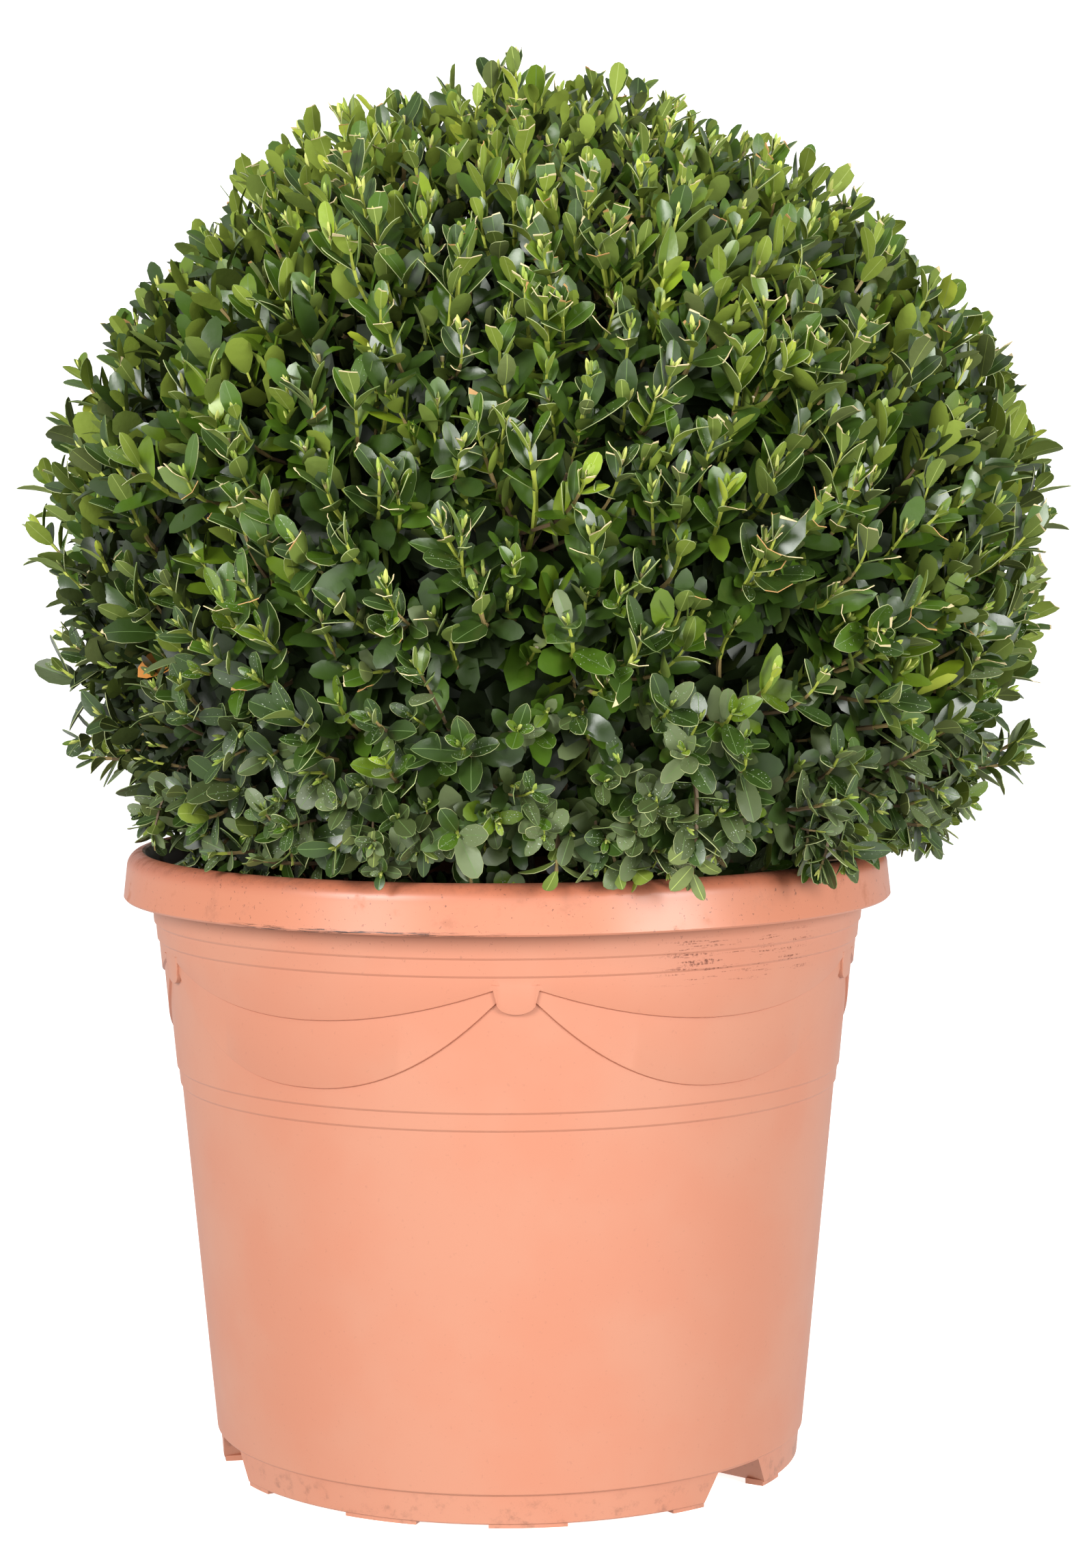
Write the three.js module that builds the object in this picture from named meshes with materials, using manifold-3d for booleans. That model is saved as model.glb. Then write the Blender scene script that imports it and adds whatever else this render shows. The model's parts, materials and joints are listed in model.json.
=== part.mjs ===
// A clipped box ball growing in a round moulded plastic pot with swags under its rim.
// Millimetres, +Z up, front towards -Y. The ground is z = 0, and the pot's axis is the Z axis
// until the last step, which moves the whole plant so that its bounding box stands on the origin.
import * as THREE from 'three';
import { mergeVertices } from 'three/addons/utils/BufferGeometryUtils.js';
import Module from 'manifold-3d';

const wasm = await Module();
wasm.setup();

const degrees = (angle) => (angle * Math.PI) / 180;
const FIT_GAP = 0.3;
const CUT_THROUGH = 1;

// ---------------------------------------------------------------- driving dimensions

// Pot wall, from its foot ring up to the hooked rim.
const PAD_HEIGHT = 2;
const WALL_THICKNESS = 3;
const FOOT_RADIUS = 159.3;
const FOOT_RING_RADIUS = 160.5;
const WALL_FOOT_RADIUS = 162.2;
const WALL_FOOT_HEIGHT = 18;
const WALL_TAPER = 0.0903;
const LOWER_BAND = { low: 209.6, high: 218.8 };
const UPPER_BAND = { low: 289.1, high: 298.3 };
const BAND_STEP = 0.9;

// Hooked rim: the skirt hangs outside the wall.
const SKIRT_RADIUS = 210;
const SKIRT_HEIGHT = 311.4;
const RIM_HEIGHT = 337;
const RIM_BEND_RADIUS = 8.7;
const RIM_CREST_RADIUS = 199.5;
const MOUTH_RADIUS = 197.4;

// Swags: two curves that sag between the five bosses, with the drape between them.
const BOSS_COUNT = 5;
const BOSS_AZIMUTH = degrees(1.2);
const BOSS_WIDTH = 20;
const BOSS_TOP_HEIGHT = 284;
const BOSS_SHOULDER_HEIGHT = 275.6;
const BOSS_DROP = 5.7;
const SWAG_RELIEF = 1.3;
const BOSS_DEPTH = 6;
const UPPER_SWAG = { end: 282.6, middle: 263.5, power: 2.0 };
const LOWER_SWAG = { end: 275.6, middle: 228.0, power: 2.3 };
const COLUMNS_PER_BOSS = 10;

// Foot: three arcs with a drain channel between each pair, standing on low pads.
const FOOT_COUNT = 3;
const FOOT_AZIMUTH = degrees(-11);
const CHANNEL = { halfWidthLow: 27.5, halfWidthHigh: 17.5, height: 17, innerRadius: 104, outerRadius: 190 };
const DRAIN = { radius: 6, depth: 40, centreRadius: 120 };
const PAD_CENTRES = [-47, -14.3, 14.3, 47].map(degrees);
const PAD_HALF_ANGLES = [3.7, 7.4, 7.4, 3.7].map(degrees);
const PAD_RADII = { inner: 148, outer: 158.5 };

// Compost, as deep as the pot is filled.
const SOIL_HEIGHT = 305;
const SOIL_EDGE_HEIGHT = 300;

// Crown: a clipped ball that is a little pointed at its top and reaches into the pot's mouth.
const CROWN = { radius: 276, waist: 509, rise: 258, fall: 311, power: 1.85 };
const CROWN_SHIFT = 21;
const CROWN_TOP_LEAN = -9;
const CROWN_DETAIL = 9;
const CROWN_UNDERSIDE = 316;
const RIM_CLEARANCE = 3;
const LUMP_TURN = 2.4;
const LUMP_SLANT = 0.5;
const LUMPS = [
  { size: 290, height: 3.2 },
  { size: 175, height: 3.0 },
  { size: 120, height: 2.6 },
  { size: 88, height: 2.0 },
];

// The bare heart of the bush, around the stem and the forks of the boughs.
const HEART = { radius: 37, floor: 290, domeBase: 402, x: 6 };

// Stem: it leans, and root buttresses swell its foot.
const STEM = { radius: 14, forkRadius: 11.5, top: 374, leanX: 8, leanY: 2 };
const BUTTRESS = { flare: 9, count: 4, lobe: 0.22, fade: 7 };

// Boughs: steep and low ones in turn, rising from just inside the stem's top.
const BOUGH_COUNT = 5;
const BOUGH_ELEVATIONS = [65, 56].map(degrees);
const BOUGH = { baseRadius: 7.4, tipRadius: 5.2, length: 105, sink: 6, offset: 4, sag: 5, firstTurn: 0.25 };

// ---------------------------------------------------------------- finishes

const finish = (color, roughness) => new THREE.MeshStandardMaterial({ color, roughness, metalness: 0 });
const potPlastic = finish('#f5ae8f', 0.5);
const compost = finish('#2b1e15', 0.95);
const bark = finish('#8a7558', 0.9);
const boxLeaf = finish('#4a5a2a', 0.45);

// ---------------------------------------------------------------- solids

// Joins the shared corners of a closed geometry and reads it as a solid.
function solidOf(geometry) {
  geometry.deleteAttribute('normal');
  geometry.deleteAttribute('uv');
  const merged = mergeVertices(geometry, 1e-4);
  const corners = merged.index.array;
  const triangles = [];
  for (let i = 0; i < corners.length; i += 3) {
    const [a, b, c] = corners.subarray(i, i + 3);
    if (a !== b && b !== c && c !== a) triangles.push(a, b, c);
  }
  return new wasm.Manifold(new wasm.Mesh({
    numProp: 3,
    vertProperties: new Float32Array(merged.attributes.position.array),
    triVerts: new Uint32Array(triangles),
  }));
}

function geometryOf(solid) {
  const { vertProperties, triVerts } = solid.getMesh();
  const geometry = new THREE.BufferGeometry();
  geometry.setAttribute('position', new THREE.BufferAttribute(new Float32Array(vertProperties), 3));
  geometry.setIndex(new THREE.BufferAttribute(new Uint32Array(triVerts), 1));
  geometry.computeVertexNormals();
  return geometry;
}

// Turns a profile of [radius, height] pairs round the Z axis, with azimuth 0 at -Y.
function turned(profile, segments) {
  const points = profile.map(([radius, height]) => new THREE.Vector2(radius, height));
  return solidOf(new THREE.LatheGeometry(points, segments).rotateX(Math.PI / 2));
}

// Points on a round stretch of a profile, from one angle to another.
function bend(centreRadius, centreHeight, bendRadius, from, to, steps) {
  return Array.from({ length: steps + 1 }, (_, i) => {
    const angle = degrees(from + ((to - from) * i) / steps);
    return [centreRadius + bendRadius * Math.cos(angle), centreHeight + bendRadius * Math.sin(angle)];
  });
}

// Carries a shape drawn across (x along the wall, y up) out along the radius at an azimuth.
function radialBlock(shape, fromRadius, toRadius, azimuth) {
  const block = new THREE.ExtrudeGeometry(shape, {
    depth: toRadius - fromRadius, bevelEnabled: false, curveSegments: 4,
  });
  const along = new THREE.Vector3(Math.cos(azimuth), Math.sin(azimuth), 0);
  const up = new THREE.Vector3(0, 0, 1);
  const outward = new THREE.Vector3(Math.sin(azimuth), -Math.cos(azimuth), 0);
  const place = new THREE.Matrix4().makeBasis(along, up, outward);
  place.setPosition(outward.clone().multiplyScalar(fromRadius));
  return solidOf(block.applyMatrix4(place));
}

// A round limb that follows a curve: the rings of a cylinder are moved onto it one by one.
function limb(curve, radiusAt, sides, steps) {
  const geometry = new THREE.CylinderGeometry(1, 1, 1, sides, steps);
  const frames = curve.computeFrenetFrames(steps);
  const position = geometry.attributes.position;
  for (let i = 0; i < position.count; i += 1) {
    const along = position.getY(i) + 0.5;
    const ring = Math.round(along * steps);
    const across = new THREE.Vector3()
      .addScaledVector(frames.normals[ring], position.getX(i))
      .addScaledVector(frames.binormals[ring], -position.getZ(i));
    const angle = Math.atan2(position.getX(i), position.getZ(i));
    const point = curve.getPointAt(along).addScaledVector(across, radiusAt(along, angle));
    position.setXYZ(i, point.x, point.y, point.z);
  }
  return solidOf(geometry);
}

// ---------------------------------------------------------------- pot

// Radius of the wall's outer face without any step or relief.
const plainWall = (height) => WALL_FOOT_RADIUS + WALL_TAPER * (height - WALL_FOOT_HEIGHT);

// Height of a swag's curve: it hangs from the bosses and is lowest midway between them.
function swagHeight(swag, azimuth) {
  const pitch = (2 * Math.PI) / BOSS_COUNT;
  const fromBoss = THREE.MathUtils.euclideanModulo(azimuth - BOSS_AZIMUTH, pitch);
  const halfBoss = pitch / COLUMNS_PER_BOSS / 2;
  const reach = Math.abs(fromBoss - pitch / 2) / (pitch / 2 - halfBoss);
  return swag.middle + (swag.end - swag.middle) * Math.min(reach, 1) ** swag.power;
}

// The outer profile at one azimuth, from the middle of the underside to the middle of the top.
function potProfile(azimuth) {
  const swagTop = swagHeight(UPPER_SWAG, azimuth);
  const swagBottom = swagHeight(LOWER_SWAG, azimuth);
  const wall = (height, steps, reliefs) => (
    [plainWall(height) + steps * BAND_STEP + reliefs * SWAG_RELIEF, height]
  );
  const gutterBend = RIM_BEND_RADIUS - WALL_THICKNESS;
  const bendHeight = RIM_HEIGHT - RIM_BEND_RADIUS;
  return [
    [0, PAD_HEIGHT],
    [FOOT_RADIUS, PAD_HEIGHT],
    [FOOT_RING_RADIUS, WALL_FOOT_HEIGHT],
    wall(WALL_FOOT_HEIGHT, 0, 0),
    wall(LOWER_BAND.low, 0, 0),
    wall(LOWER_BAND.low, 1, 0),
    wall(LOWER_BAND.high, 1, 0),
    wall(LOWER_BAND.high, 2, 0),
    wall(swagBottom, 2, 0),
    wall(swagBottom, 2, 1),
    wall(swagTop, 2, 1),
    wall(swagTop, 2, 2),
    wall(UPPER_BAND.low, 2, 2),
    wall(UPPER_BAND.low, 3, 2),
    wall(UPPER_BAND.high, 3, 2),
    wall(UPPER_BAND.high, 4, 2),
    wall(SKIRT_HEIGHT, 4, 2),
    ...bend(RIM_CREST_RADIUS, bendHeight, gutterBend, 90, 0, 2),
    [SKIRT_RADIUS - WALL_THICKNESS, SKIRT_HEIGHT],
    [SKIRT_RADIUS, SKIRT_HEIGHT],
    ...bend(RIM_CREST_RADIUS, bendHeight, RIM_BEND_RADIUS, 0, 90, 3),
    [0, RIM_HEIGHT],
  ];
}

// The outer body, turned like a lathe but with each column taking its own profile.
function potBody() {
  const columns = BOSS_COUNT * COLUMNS_PER_BOSS;
  const firstColumn = BOSS_AZIMUTH + Math.PI / columns;
  const pointsOf = (azimuth) => (
    potProfile(azimuth).map(([radius, height]) => new THREE.Vector2(radius, height))
  );
  const rows = pointsOf(firstColumn).length;
  const geometry = new THREE.LatheGeometry(pointsOf(firstColumn), columns, firstColumn);
  const position = geometry.attributes.position;
  for (let column = 0; column <= columns; column += 1) {
    const azimuth = firstColumn + ((column % columns) * 2 * Math.PI) / columns;
    pointsOf(azimuth).forEach((point, row) => {
      const x = point.x * Math.sin(azimuth);
      const z = point.x * Math.cos(azimuth);
      position.setXYZ(column * rows + row, x, point.y, z);
    });
  }
  return solidOf(geometry.rotateX(Math.PI / 2));
}

// The inside of the pot, up to and through its mouth. A margin makes it smaller all round.
function potCavity(margin, top) {
  const inner = (height, steps) => (
    plainWall(height) + steps * BAND_STEP - WALL_THICKNESS - margin
  );
  return turned([
    [0, PAD_HEIGHT + WALL_THICKNESS + margin],
    [FOOT_RADIUS - WALL_THICKNESS - margin, PAD_HEIGHT + WALL_THICKNESS + margin],
    [FOOT_RING_RADIUS - WALL_THICKNESS - margin, WALL_FOOT_HEIGHT + WALL_THICKNESS],
    [inner(LOWER_BAND.low, 0), LOWER_BAND.low],
    [inner(UPPER_BAND.low, 3), UPPER_BAND.low],
    ...top,
  ], BOSS_COUNT * COLUMNS_PER_BOSS);
}

// The three drain channels, cut across the foot between its arcs.
function channels(margin) {
  const across = new THREE.Shape();
  const low = CHANNEL.halfWidthLow + margin;
  const high = CHANNEL.halfWidthHigh + margin;
  const top = CHANNEL.height + margin;
  const lowest = low + (low - high);
  across.moveTo(-lowest, -top);
  across.lineTo(lowest, -top);
  across.lineTo(high, top);
  across.lineTo(-high, top);
  return Array.from({ length: FOOT_COUNT }, (_, i) => {
    const azimuth = FOOT_AZIMUTH + ((i + 0.5) * 2 * Math.PI) / FOOT_COUNT;
    return radialBlock(across, CHANNEL.innerRadius - margin, CHANNEL.outerRadius, azimuth);
  }).reduce((all, channel) => all.add(channel));
}

// One low pad under a foot arc.
function footPad(azimuth, halfAngle) {
  const outline = new THREE.Shape();
  const from = azimuth - halfAngle - Math.PI / 2;
  const to = azimuth + halfAngle - Math.PI / 2;
  outline.absarc(0, 0, PAD_RADII.outer, from, to, false);
  outline.absarc(0, 0, PAD_RADII.inner, to, from, true);
  return solidOf(new THREE.ExtrudeGeometry(outline, {
    depth: PAD_HEIGHT + CUT_THROUGH, bevelEnabled: false, curveSegments: 2,
  }));
}

function footPads() {
  const pads = [];
  for (let foot = 0; foot < FOOT_COUNT; foot += 1) {
    PAD_CENTRES.forEach((centre, i) => {
      pads.push(footPad(FOOT_AZIMUTH + (foot * 2 * Math.PI) / FOOT_COUNT + centre, PAD_HALF_ANGLES[i]));
    });
  }
  return pads.reduce((all, pad) => all.add(pad));
}

// The half-round tabs that the swags hang from.
function bosses() {
  const half = BOSS_WIDTH / 2;
  const tab = new THREE.Shape();
  tab.moveTo(half, BOSS_TOP_HEIGHT);
  tab.lineTo(-half, BOSS_TOP_HEIGHT);
  tab.lineTo(-half, BOSS_SHOULDER_HEIGHT);
  tab.absellipse(0, BOSS_SHOULDER_HEIGHT, half, BOSS_DROP, Math.PI, 2 * Math.PI, false);
  const face = plainWall(BOSS_SHOULDER_HEIGHT) + 2 * BAND_STEP + 2 * SWAG_RELIEF;
  return Array.from({ length: BOSS_COUNT }, (_, i) => (
    radialBlock(tab, face - BOSS_DEPTH, face, BOSS_AZIMUTH + (i * 2 * Math.PI) / BOSS_COUNT)
  )).reduce((all, boss) => all.add(boss));
}

function drainHoles() {
  return Array.from({ length: FOOT_COUNT }, (_, i) => {
    const azimuth = FOOT_AZIMUTH + ((i + 0.5) * 2 * Math.PI) / FOOT_COUNT;
    const hole = new THREE.CylinderGeometry(DRAIN.radius, DRAIN.radius, DRAIN.depth, 10).rotateX(Math.PI / 2);
    const x = DRAIN.centreRadius * Math.sin(azimuth);
    const y = -DRAIN.centreRadius * Math.cos(azimuth);
    return solidOf(hole.translate(x, y, CHANNEL.height));
  }).reduce((all, hole) => all.add(hole));
}

function pot() {
  const neck = plainWall(SKIRT_HEIGHT) + 4 * BAND_STEP + 2 * SWAG_RELIEF - WALL_THICKNESS;
  const mouth = [
    [neck, SKIRT_HEIGHT],
    [MOUTH_RADIUS, RIM_HEIGHT - WALL_THICKNESS],
    [RIM_CREST_RADIUS, RIM_HEIGHT],
    [RIM_CREST_RADIUS, RIM_HEIGHT + CUT_THROUGH],
    [0, RIM_HEIGHT + CUT_THROUGH],
  ];
  const inside = potCavity(0, mouth).subtract(channels(WALL_THICKNESS));
  return potBody()
    .add(bosses())
    .subtract(channels(0))
    .add(footPads())
    .subtract(inside)
    .subtract(drainHoles());
}

function soil() {
  const surface = [
    [plainWall(SOIL_EDGE_HEIGHT) - WALL_THICKNESS, SOIL_EDGE_HEIGHT],
    [HEART.radius * 2, SOIL_HEIGHT - 1],
    [HEART.radius, SOIL_HEIGHT],
    [0, SOIL_HEIGHT],
  ];
  return potCavity(FIT_GAP, surface).subtract(channels(WALL_THICKNESS + FIT_GAP));
}

// ---------------------------------------------------------------- stem and boughs

// The stem's foot is a flat cut on the compost, with root buttresses that fade upwards.
function stem(margin) {
  const foot = new THREE.Vector3(0, 0, SOIL_HEIGHT + FIT_GAP);
  const top = new THREE.Vector3(STEM.leanX, STEM.leanY, STEM.top);
  const above = new THREE.Vector3(0, 0, (foot.z + top.z) / 2);
  const curve = new THREE.QuadraticBezierCurve3(foot, above, top);
  return limb(curve, (along, angle) => {
    const taper = THREE.MathUtils.lerp(STEM.radius, STEM.forkRadius, along);
    const lobes = 1 + BUTTRESS.lobe * Math.cos(BUTTRESS.count * angle);
    return taper + BUTTRESS.flare * lobes * Math.exp(-BUTTRESS.fade * along) + margin;
  }, 16, 9);
}

// Each bough leaves the top of the stem and bends upwards as it goes out.
function bough(index, margin) {
  const azimuth = ((index + BOUGH.firstTurn) * 2 * Math.PI) / BOUGH_COUNT;
  const rise = BOUGH_ELEVATIONS[index % BOUGH_ELEVATIONS.length];
  const out = new THREE.Vector3(Math.sin(azimuth), -Math.cos(azimuth), 0);
  const start = new THREE.Vector3(STEM.leanX, STEM.leanY, STEM.top - BOUGH.sink);
  start.addScaledVector(out, BOUGH.offset);
  const end = start.clone().addScaledVector(out, BOUGH.length * Math.cos(rise));
  end.z += BOUGH.length * Math.sin(rise);
  const knee = start.clone().lerp(end, 0.5).addScaledVector(out, BOUGH.sag);
  const curve = new THREE.QuadraticBezierCurve3(start, knee, end);
  return limb(curve, (along) => (
    THREE.MathUtils.lerp(BOUGH.baseRadius, BOUGH.tipRadius, along) + margin
  ), 10, 5);
}

// The bare heart's shape, narrower all round by a margin, open downwards.
function heart(margin) {
  const radius = HEART.radius - margin;
  return turned([
    [0, HEART.floor],
    [radius, HEART.floor],
    ...bend(0, HEART.domeBase, radius, 0, 90, 5),
  ], 20).translate([HEART.x, 0, 0]);
}

// Boughs are cut back to the stem, to each other and to where they enter the leaves.
function boughs() {
  let taken = stem(FIT_GAP);
  return Array.from({ length: BOUGH_COUNT }, (_, index) => {
    const pieces = bough(index, 0).intersect(heart(FIT_GAP)).subtract(taken).decompose();
    taken = taken.add(bough(index, FIT_GAP));
    return pieces.reduce((whole, piece) => (piece.volume() > whole.volume() ? piece : whole));
  });
}

// ---------------------------------------------------------------- crown

// Distance from the crown's waist centre to its surface, along a unit direction.
function crownReach(direction) {
  const across = Math.hypot(direction.x, direction.y);
  const climb = Math.abs(direction.z);
  const height = direction.z > 0 ? CROWN.rise : CROWN.fall;
  return ((across / CROWN.radius) ** CROWN.power + (climb / height) ** CROWN.power) ** (-1 / CROWN.power);
}

// Gentle lumps left by the shears: waves of four sizes, each running its own way.
function lumpHeight(point) {
  return LUMPS.reduce((sum, { size, height }, i) => {
    const turn = i * LUMP_TURN;
    const wave = (2 * Math.PI) / size;
    const u = point.x * Math.cos(turn) + point.y * Math.sin(turn);
    const v = point.z + LUMP_SLANT * (point.y * Math.cos(turn) - point.x * Math.sin(turn));
    return sum + height * Math.sin(wave * u + turn) * Math.cos(wave * v - turn);
  }, 0);
}

// The whole ball of leaves, before it is cut round the rim and hollowed round the stem.
function ball() {
  const geometry = new THREE.IcosahedronGeometry(1, CROWN_DETAIL);
  const position = geometry.attributes.position;
  const direction = new THREE.Vector3();
  for (let i = 0; i < position.count; i += 1) {
    direction.fromBufferAttribute(position, i).normalize();
    const point = direction.clone().multiplyScalar(crownReach(direction));
    point.addScaledVector(direction, lumpHeight(point));
    const climb = THREE.MathUtils.smoothstep(point.z, 0, CROWN.rise);
    position.setXYZ(i, point.x + CROWN_SHIFT + CROWN_TOP_LEAN * climb, point.y, point.z + CROWN.waist);
  }
  return solidOf(geometry);
}

// Everything that the leaves keep clear of: the pot outside its mouth, and the compost.
function potKeepOut() {
  const outside = CROWN.radius * 2;
  return turned([
    [0, -100],
    [outside, -100],
    [outside, RIM_HEIGHT + RIM_CLEARANCE],
    [MOUTH_RADIUS - 2 * RIM_CLEARANCE, RIM_HEIGHT + RIM_CLEARANCE],
    [MOUTH_RADIUS - 3 * RIM_CLEARANCE, CROWN_UNDERSIDE],
    [0, CROWN_UNDERSIDE],
  ], BOSS_COUNT * COLUMNS_PER_BOSS);
}

function foliageBall() {
  return ball().subtract(potKeepOut()).subtract(heart(0));
}

// ---------------------------------------------------------------- assembly

const plant = new THREE.Group();

function addPart(name, solid, material) {
  const mesh = new THREE.Mesh(geometryOf(solid), material);
  mesh.name = name;
  plant.add(mesh);
}

addPart('pot', pot(), potPlastic);
addPart('soil', soil(), compost);
addPart('stem', stem(0), bark);
boughs().forEach((solid, i) => addPart(`bough_${i + 1}`, solid, bark));
addPart('foliage_ball', foliageBall(), boxLeaf);

const middle = new THREE.Box3().setFromObject(plant).getCenter(new THREE.Vector3());
plant.position.set(-middle.x, -middle.y, 0);

export default plant;
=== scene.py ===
# %% [markdown]
# # A clipped box ball in its plastic pot
#
# A box shrub is kept clipped to a ball, and it grows in a large moulded pot. The frame already
# holds the sizes and places: the pot, the compost in it, a short stem, five boughs, and one plain
# closed solid that stands for all the leaves. This lesson makes each of them look real. The pot is
# modelled again with its fine relief, the wood gets its bark, and the solid of leaves is replaced
# by twigs, shoots and leaves that grow on from the boughs.

# %% Load the frame
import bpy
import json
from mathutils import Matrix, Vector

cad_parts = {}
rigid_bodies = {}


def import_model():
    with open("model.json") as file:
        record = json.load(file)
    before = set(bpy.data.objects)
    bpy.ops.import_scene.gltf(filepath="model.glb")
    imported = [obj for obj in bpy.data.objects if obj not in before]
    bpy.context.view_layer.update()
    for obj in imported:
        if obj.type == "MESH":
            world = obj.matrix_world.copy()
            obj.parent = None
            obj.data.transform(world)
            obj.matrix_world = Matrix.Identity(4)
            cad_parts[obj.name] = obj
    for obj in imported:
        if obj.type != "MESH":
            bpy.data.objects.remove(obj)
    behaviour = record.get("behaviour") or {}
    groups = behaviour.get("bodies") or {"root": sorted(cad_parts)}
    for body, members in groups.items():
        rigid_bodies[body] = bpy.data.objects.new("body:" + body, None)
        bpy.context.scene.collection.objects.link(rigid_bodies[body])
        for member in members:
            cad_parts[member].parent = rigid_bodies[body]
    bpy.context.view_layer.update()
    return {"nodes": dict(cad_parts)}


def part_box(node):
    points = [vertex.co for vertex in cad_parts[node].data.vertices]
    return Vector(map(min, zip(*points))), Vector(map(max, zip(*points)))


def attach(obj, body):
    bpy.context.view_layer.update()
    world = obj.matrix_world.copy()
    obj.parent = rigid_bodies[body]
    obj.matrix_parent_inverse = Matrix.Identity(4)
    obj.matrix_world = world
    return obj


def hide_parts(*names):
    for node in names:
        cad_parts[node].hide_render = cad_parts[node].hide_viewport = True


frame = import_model()
print("nodes:", sorted(frame["nodes"]))

# %% [markdown]
# ## Units and small helpers
#
# Plants and pots are measured in millimetres, so every piece here is made in millimetres and is
# scaled to metres once, when it is finished. A boolean's tolerance suits those numbers better as
# well. Two frames are used: the row's own, and one centred on the pot's axis.

# %% Units, and where the pot and the crown are
import json
import math

import bmesh
import bpy
import numpy as np
from mathutils import Matrix, Vector, noise
from mathutils.bvhtree import BVHTree

MILLIMETRE = 0.001
UP = Vector((0, 0, 1))
GOLDEN_ANGLE = math.pi * (3 - math.sqrt(5))


def box_mm(node):
    low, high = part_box(node)
    return low / MILLIMETRE, high / MILLIMETRE


pot_low, pot_high = box_mm("pot")
crown_low, crown_high = box_mm("foliage_ball")
_, soil_high = box_mm("soil")
stem_low, stem_high = box_mm("stem")
POT_AXIS = Vector(((pot_low.x + pot_high.x) / 2, (pot_low.y + pot_high.y) / 2, 0))
ROW_SCALE = Matrix.Scale(MILLIMETRE, 4)
POT_TO_ROW = ROW_SCALE @ Matrix.Translation(POT_AXIS)
print("pot axis", tuple(round(v, 2) for v in POT_AXIS[:2]), "crown top", round(crown_high.z, 1))

# %% Helpers that turn a bmesh into a piece of the object


def bare_object(bm, name):
    """A bmesh becomes an object in the scene, with its faces turned outwards."""
    bmesh.ops.recalc_face_normals(bm, faces=bm.faces)
    mesh = bpy.data.meshes.new(name)
    bm.to_mesh(mesh)
    bm.free()
    obj = bpy.data.objects.new(name, mesh)
    bpy.context.scene.collection.objects.link(obj)
    return obj


def weld(bm, distance=0.01):
    bmesh.ops.remove_doubles(bm, verts=bm.verts, dist=distance)


def corners_of(made):
    """The corners among what an operator has made."""
    return [item for item in made["geom"] if isinstance(item, bmesh.types.BMVert)]


def slice_through(bm, point, normal):
    """Parts every face that a plane crosses, and keeps both sides."""
    whole = bm.verts[:] + bm.edges[:] + bm.faces[:]
    bmesh.ops.bisect_plane(bm, geom=whole, plane_co=point, plane_no=normal)


def settle(obj):
    """The modifiers' result becomes the object's own mesh."""
    evaluated = obj.evaluated_get(bpy.context.evaluated_depsgraph_get())
    mesh = bpy.data.meshes.new_from_object(evaluated)
    obj.modifiers.clear()
    obj.data = mesh


def combine(target, tool, operation):
    modifier = target.modifiers.new(operation.lower(), "BOOLEAN")
    modifier.operation = operation
    modifier.object = tool
    modifier.solver = "MANIFOLD"
    settle(target)
    bpy.data.objects.remove(tool)


def triangles_of(obj):
    return sum(len(face.vertices) - 2 for face in obj.data.polygons)


def one_finish(obj, material):
    obj.data.materials.clear()
    obj.data.materials.append(material)


def finish_piece(obj, to_row, sharp_angle=35):
    """Puts a piece in its place in metres and lets it ride on the plant."""
    obj.data.transform(to_row)
    obj.data.shade_smooth()
    obj.data.set_sharp_from_angle(angle=math.radians(sharp_angle))
    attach(obj, "root")
    print(f"{obj.name}: {triangles_of(obj):,} triangles")
    return obj


# %% [markdown]
# ## Camera, light and floor
#
# The plant stands in a bright studio: light comes softly from all round, and more of it from large
# panels in front and above, so that the pot shades off gently towards its sides and the leaves
# keep dark gaps between them. A pale world gives the first. It is brighter below the horizon,
# because a white floor throws light back up. Four area lights give the second. The floor and the
# wall behind are one pale sweep.

# %% Camera
CAMERA_DISTANCE = 1916
CAMERA_HEIGHT = 519
CAMERA_PITCH = math.radians(-4.43)
CAMERA_YAW = math.radians(-0.63)
CAMERA_ROLL = math.radians(-0.22)
CAMERA_LENS = 80.25
CAMERA_REACH = 50

camera = bpy.data.objects.new("camera", bpy.data.cameras.new("camera"))
camera.data.lens = CAMERA_LENS
camera.data.clip_end = CAMERA_REACH
place = (POT_AXIS + Vector((0, -CAMERA_DISTANCE, CAMERA_HEIGHT))) * MILLIMETRE
camera.matrix_world = (
    Matrix.Translation(place)
    @ Matrix.Rotation(CAMERA_YAW, 4, "Z")
    @ Matrix.Rotation(math.pi / 2 + CAMERA_PITCH, 4, "X")
    @ Matrix.Rotation(CAMERA_ROLL, 4, "Z")
)
scene = bpy.context.scene
scene.collection.objects.link(camera)
scene.camera = camera
scene.view_settings.view_transform = "Standard"
scene.cycles.max_bounces = 6
scene.cycles.diffuse_bounces = 3
scene.cycles.glossy_bounces = 2
print("camera at", tuple(round(v, 3) for v in place))

# %% World and lights
LIGHT_FROM_BELOW = 0.88
LIGHT_FROM_ABOVE = 0.37
FADE_START = -0.3
FADE_END = 0.4

world = bpy.data.worlds.new("studio")
world.use_nodes = True
sky = world.node_tree
sky.nodes["Background"].inputs["Color"].default_value = (1, 1, 1, 1)
direction = sky.nodes.new("ShaderNodeTexCoord").outputs["Generated"]
parts = sky.nodes.new("ShaderNodeSeparateXYZ")
fade = sky.nodes.new("ShaderNodeMapRange")
for socket, value in (
    *(("From Min", FADE_START), ("From Max", FADE_END)),
    *(("To Min", LIGHT_FROM_BELOW), ("To Max", LIGHT_FROM_ABOVE)),
):
    fade.inputs[socket].default_value = value
sky.links.new(direction, parts.inputs["Vector"])
sky.links.new(parts.outputs["Z"], fade.inputs["Value"])
sky.links.new(fade.outputs["Result"], sky.nodes["Background"].inputs["Strength"])
scene.world = world

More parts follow.
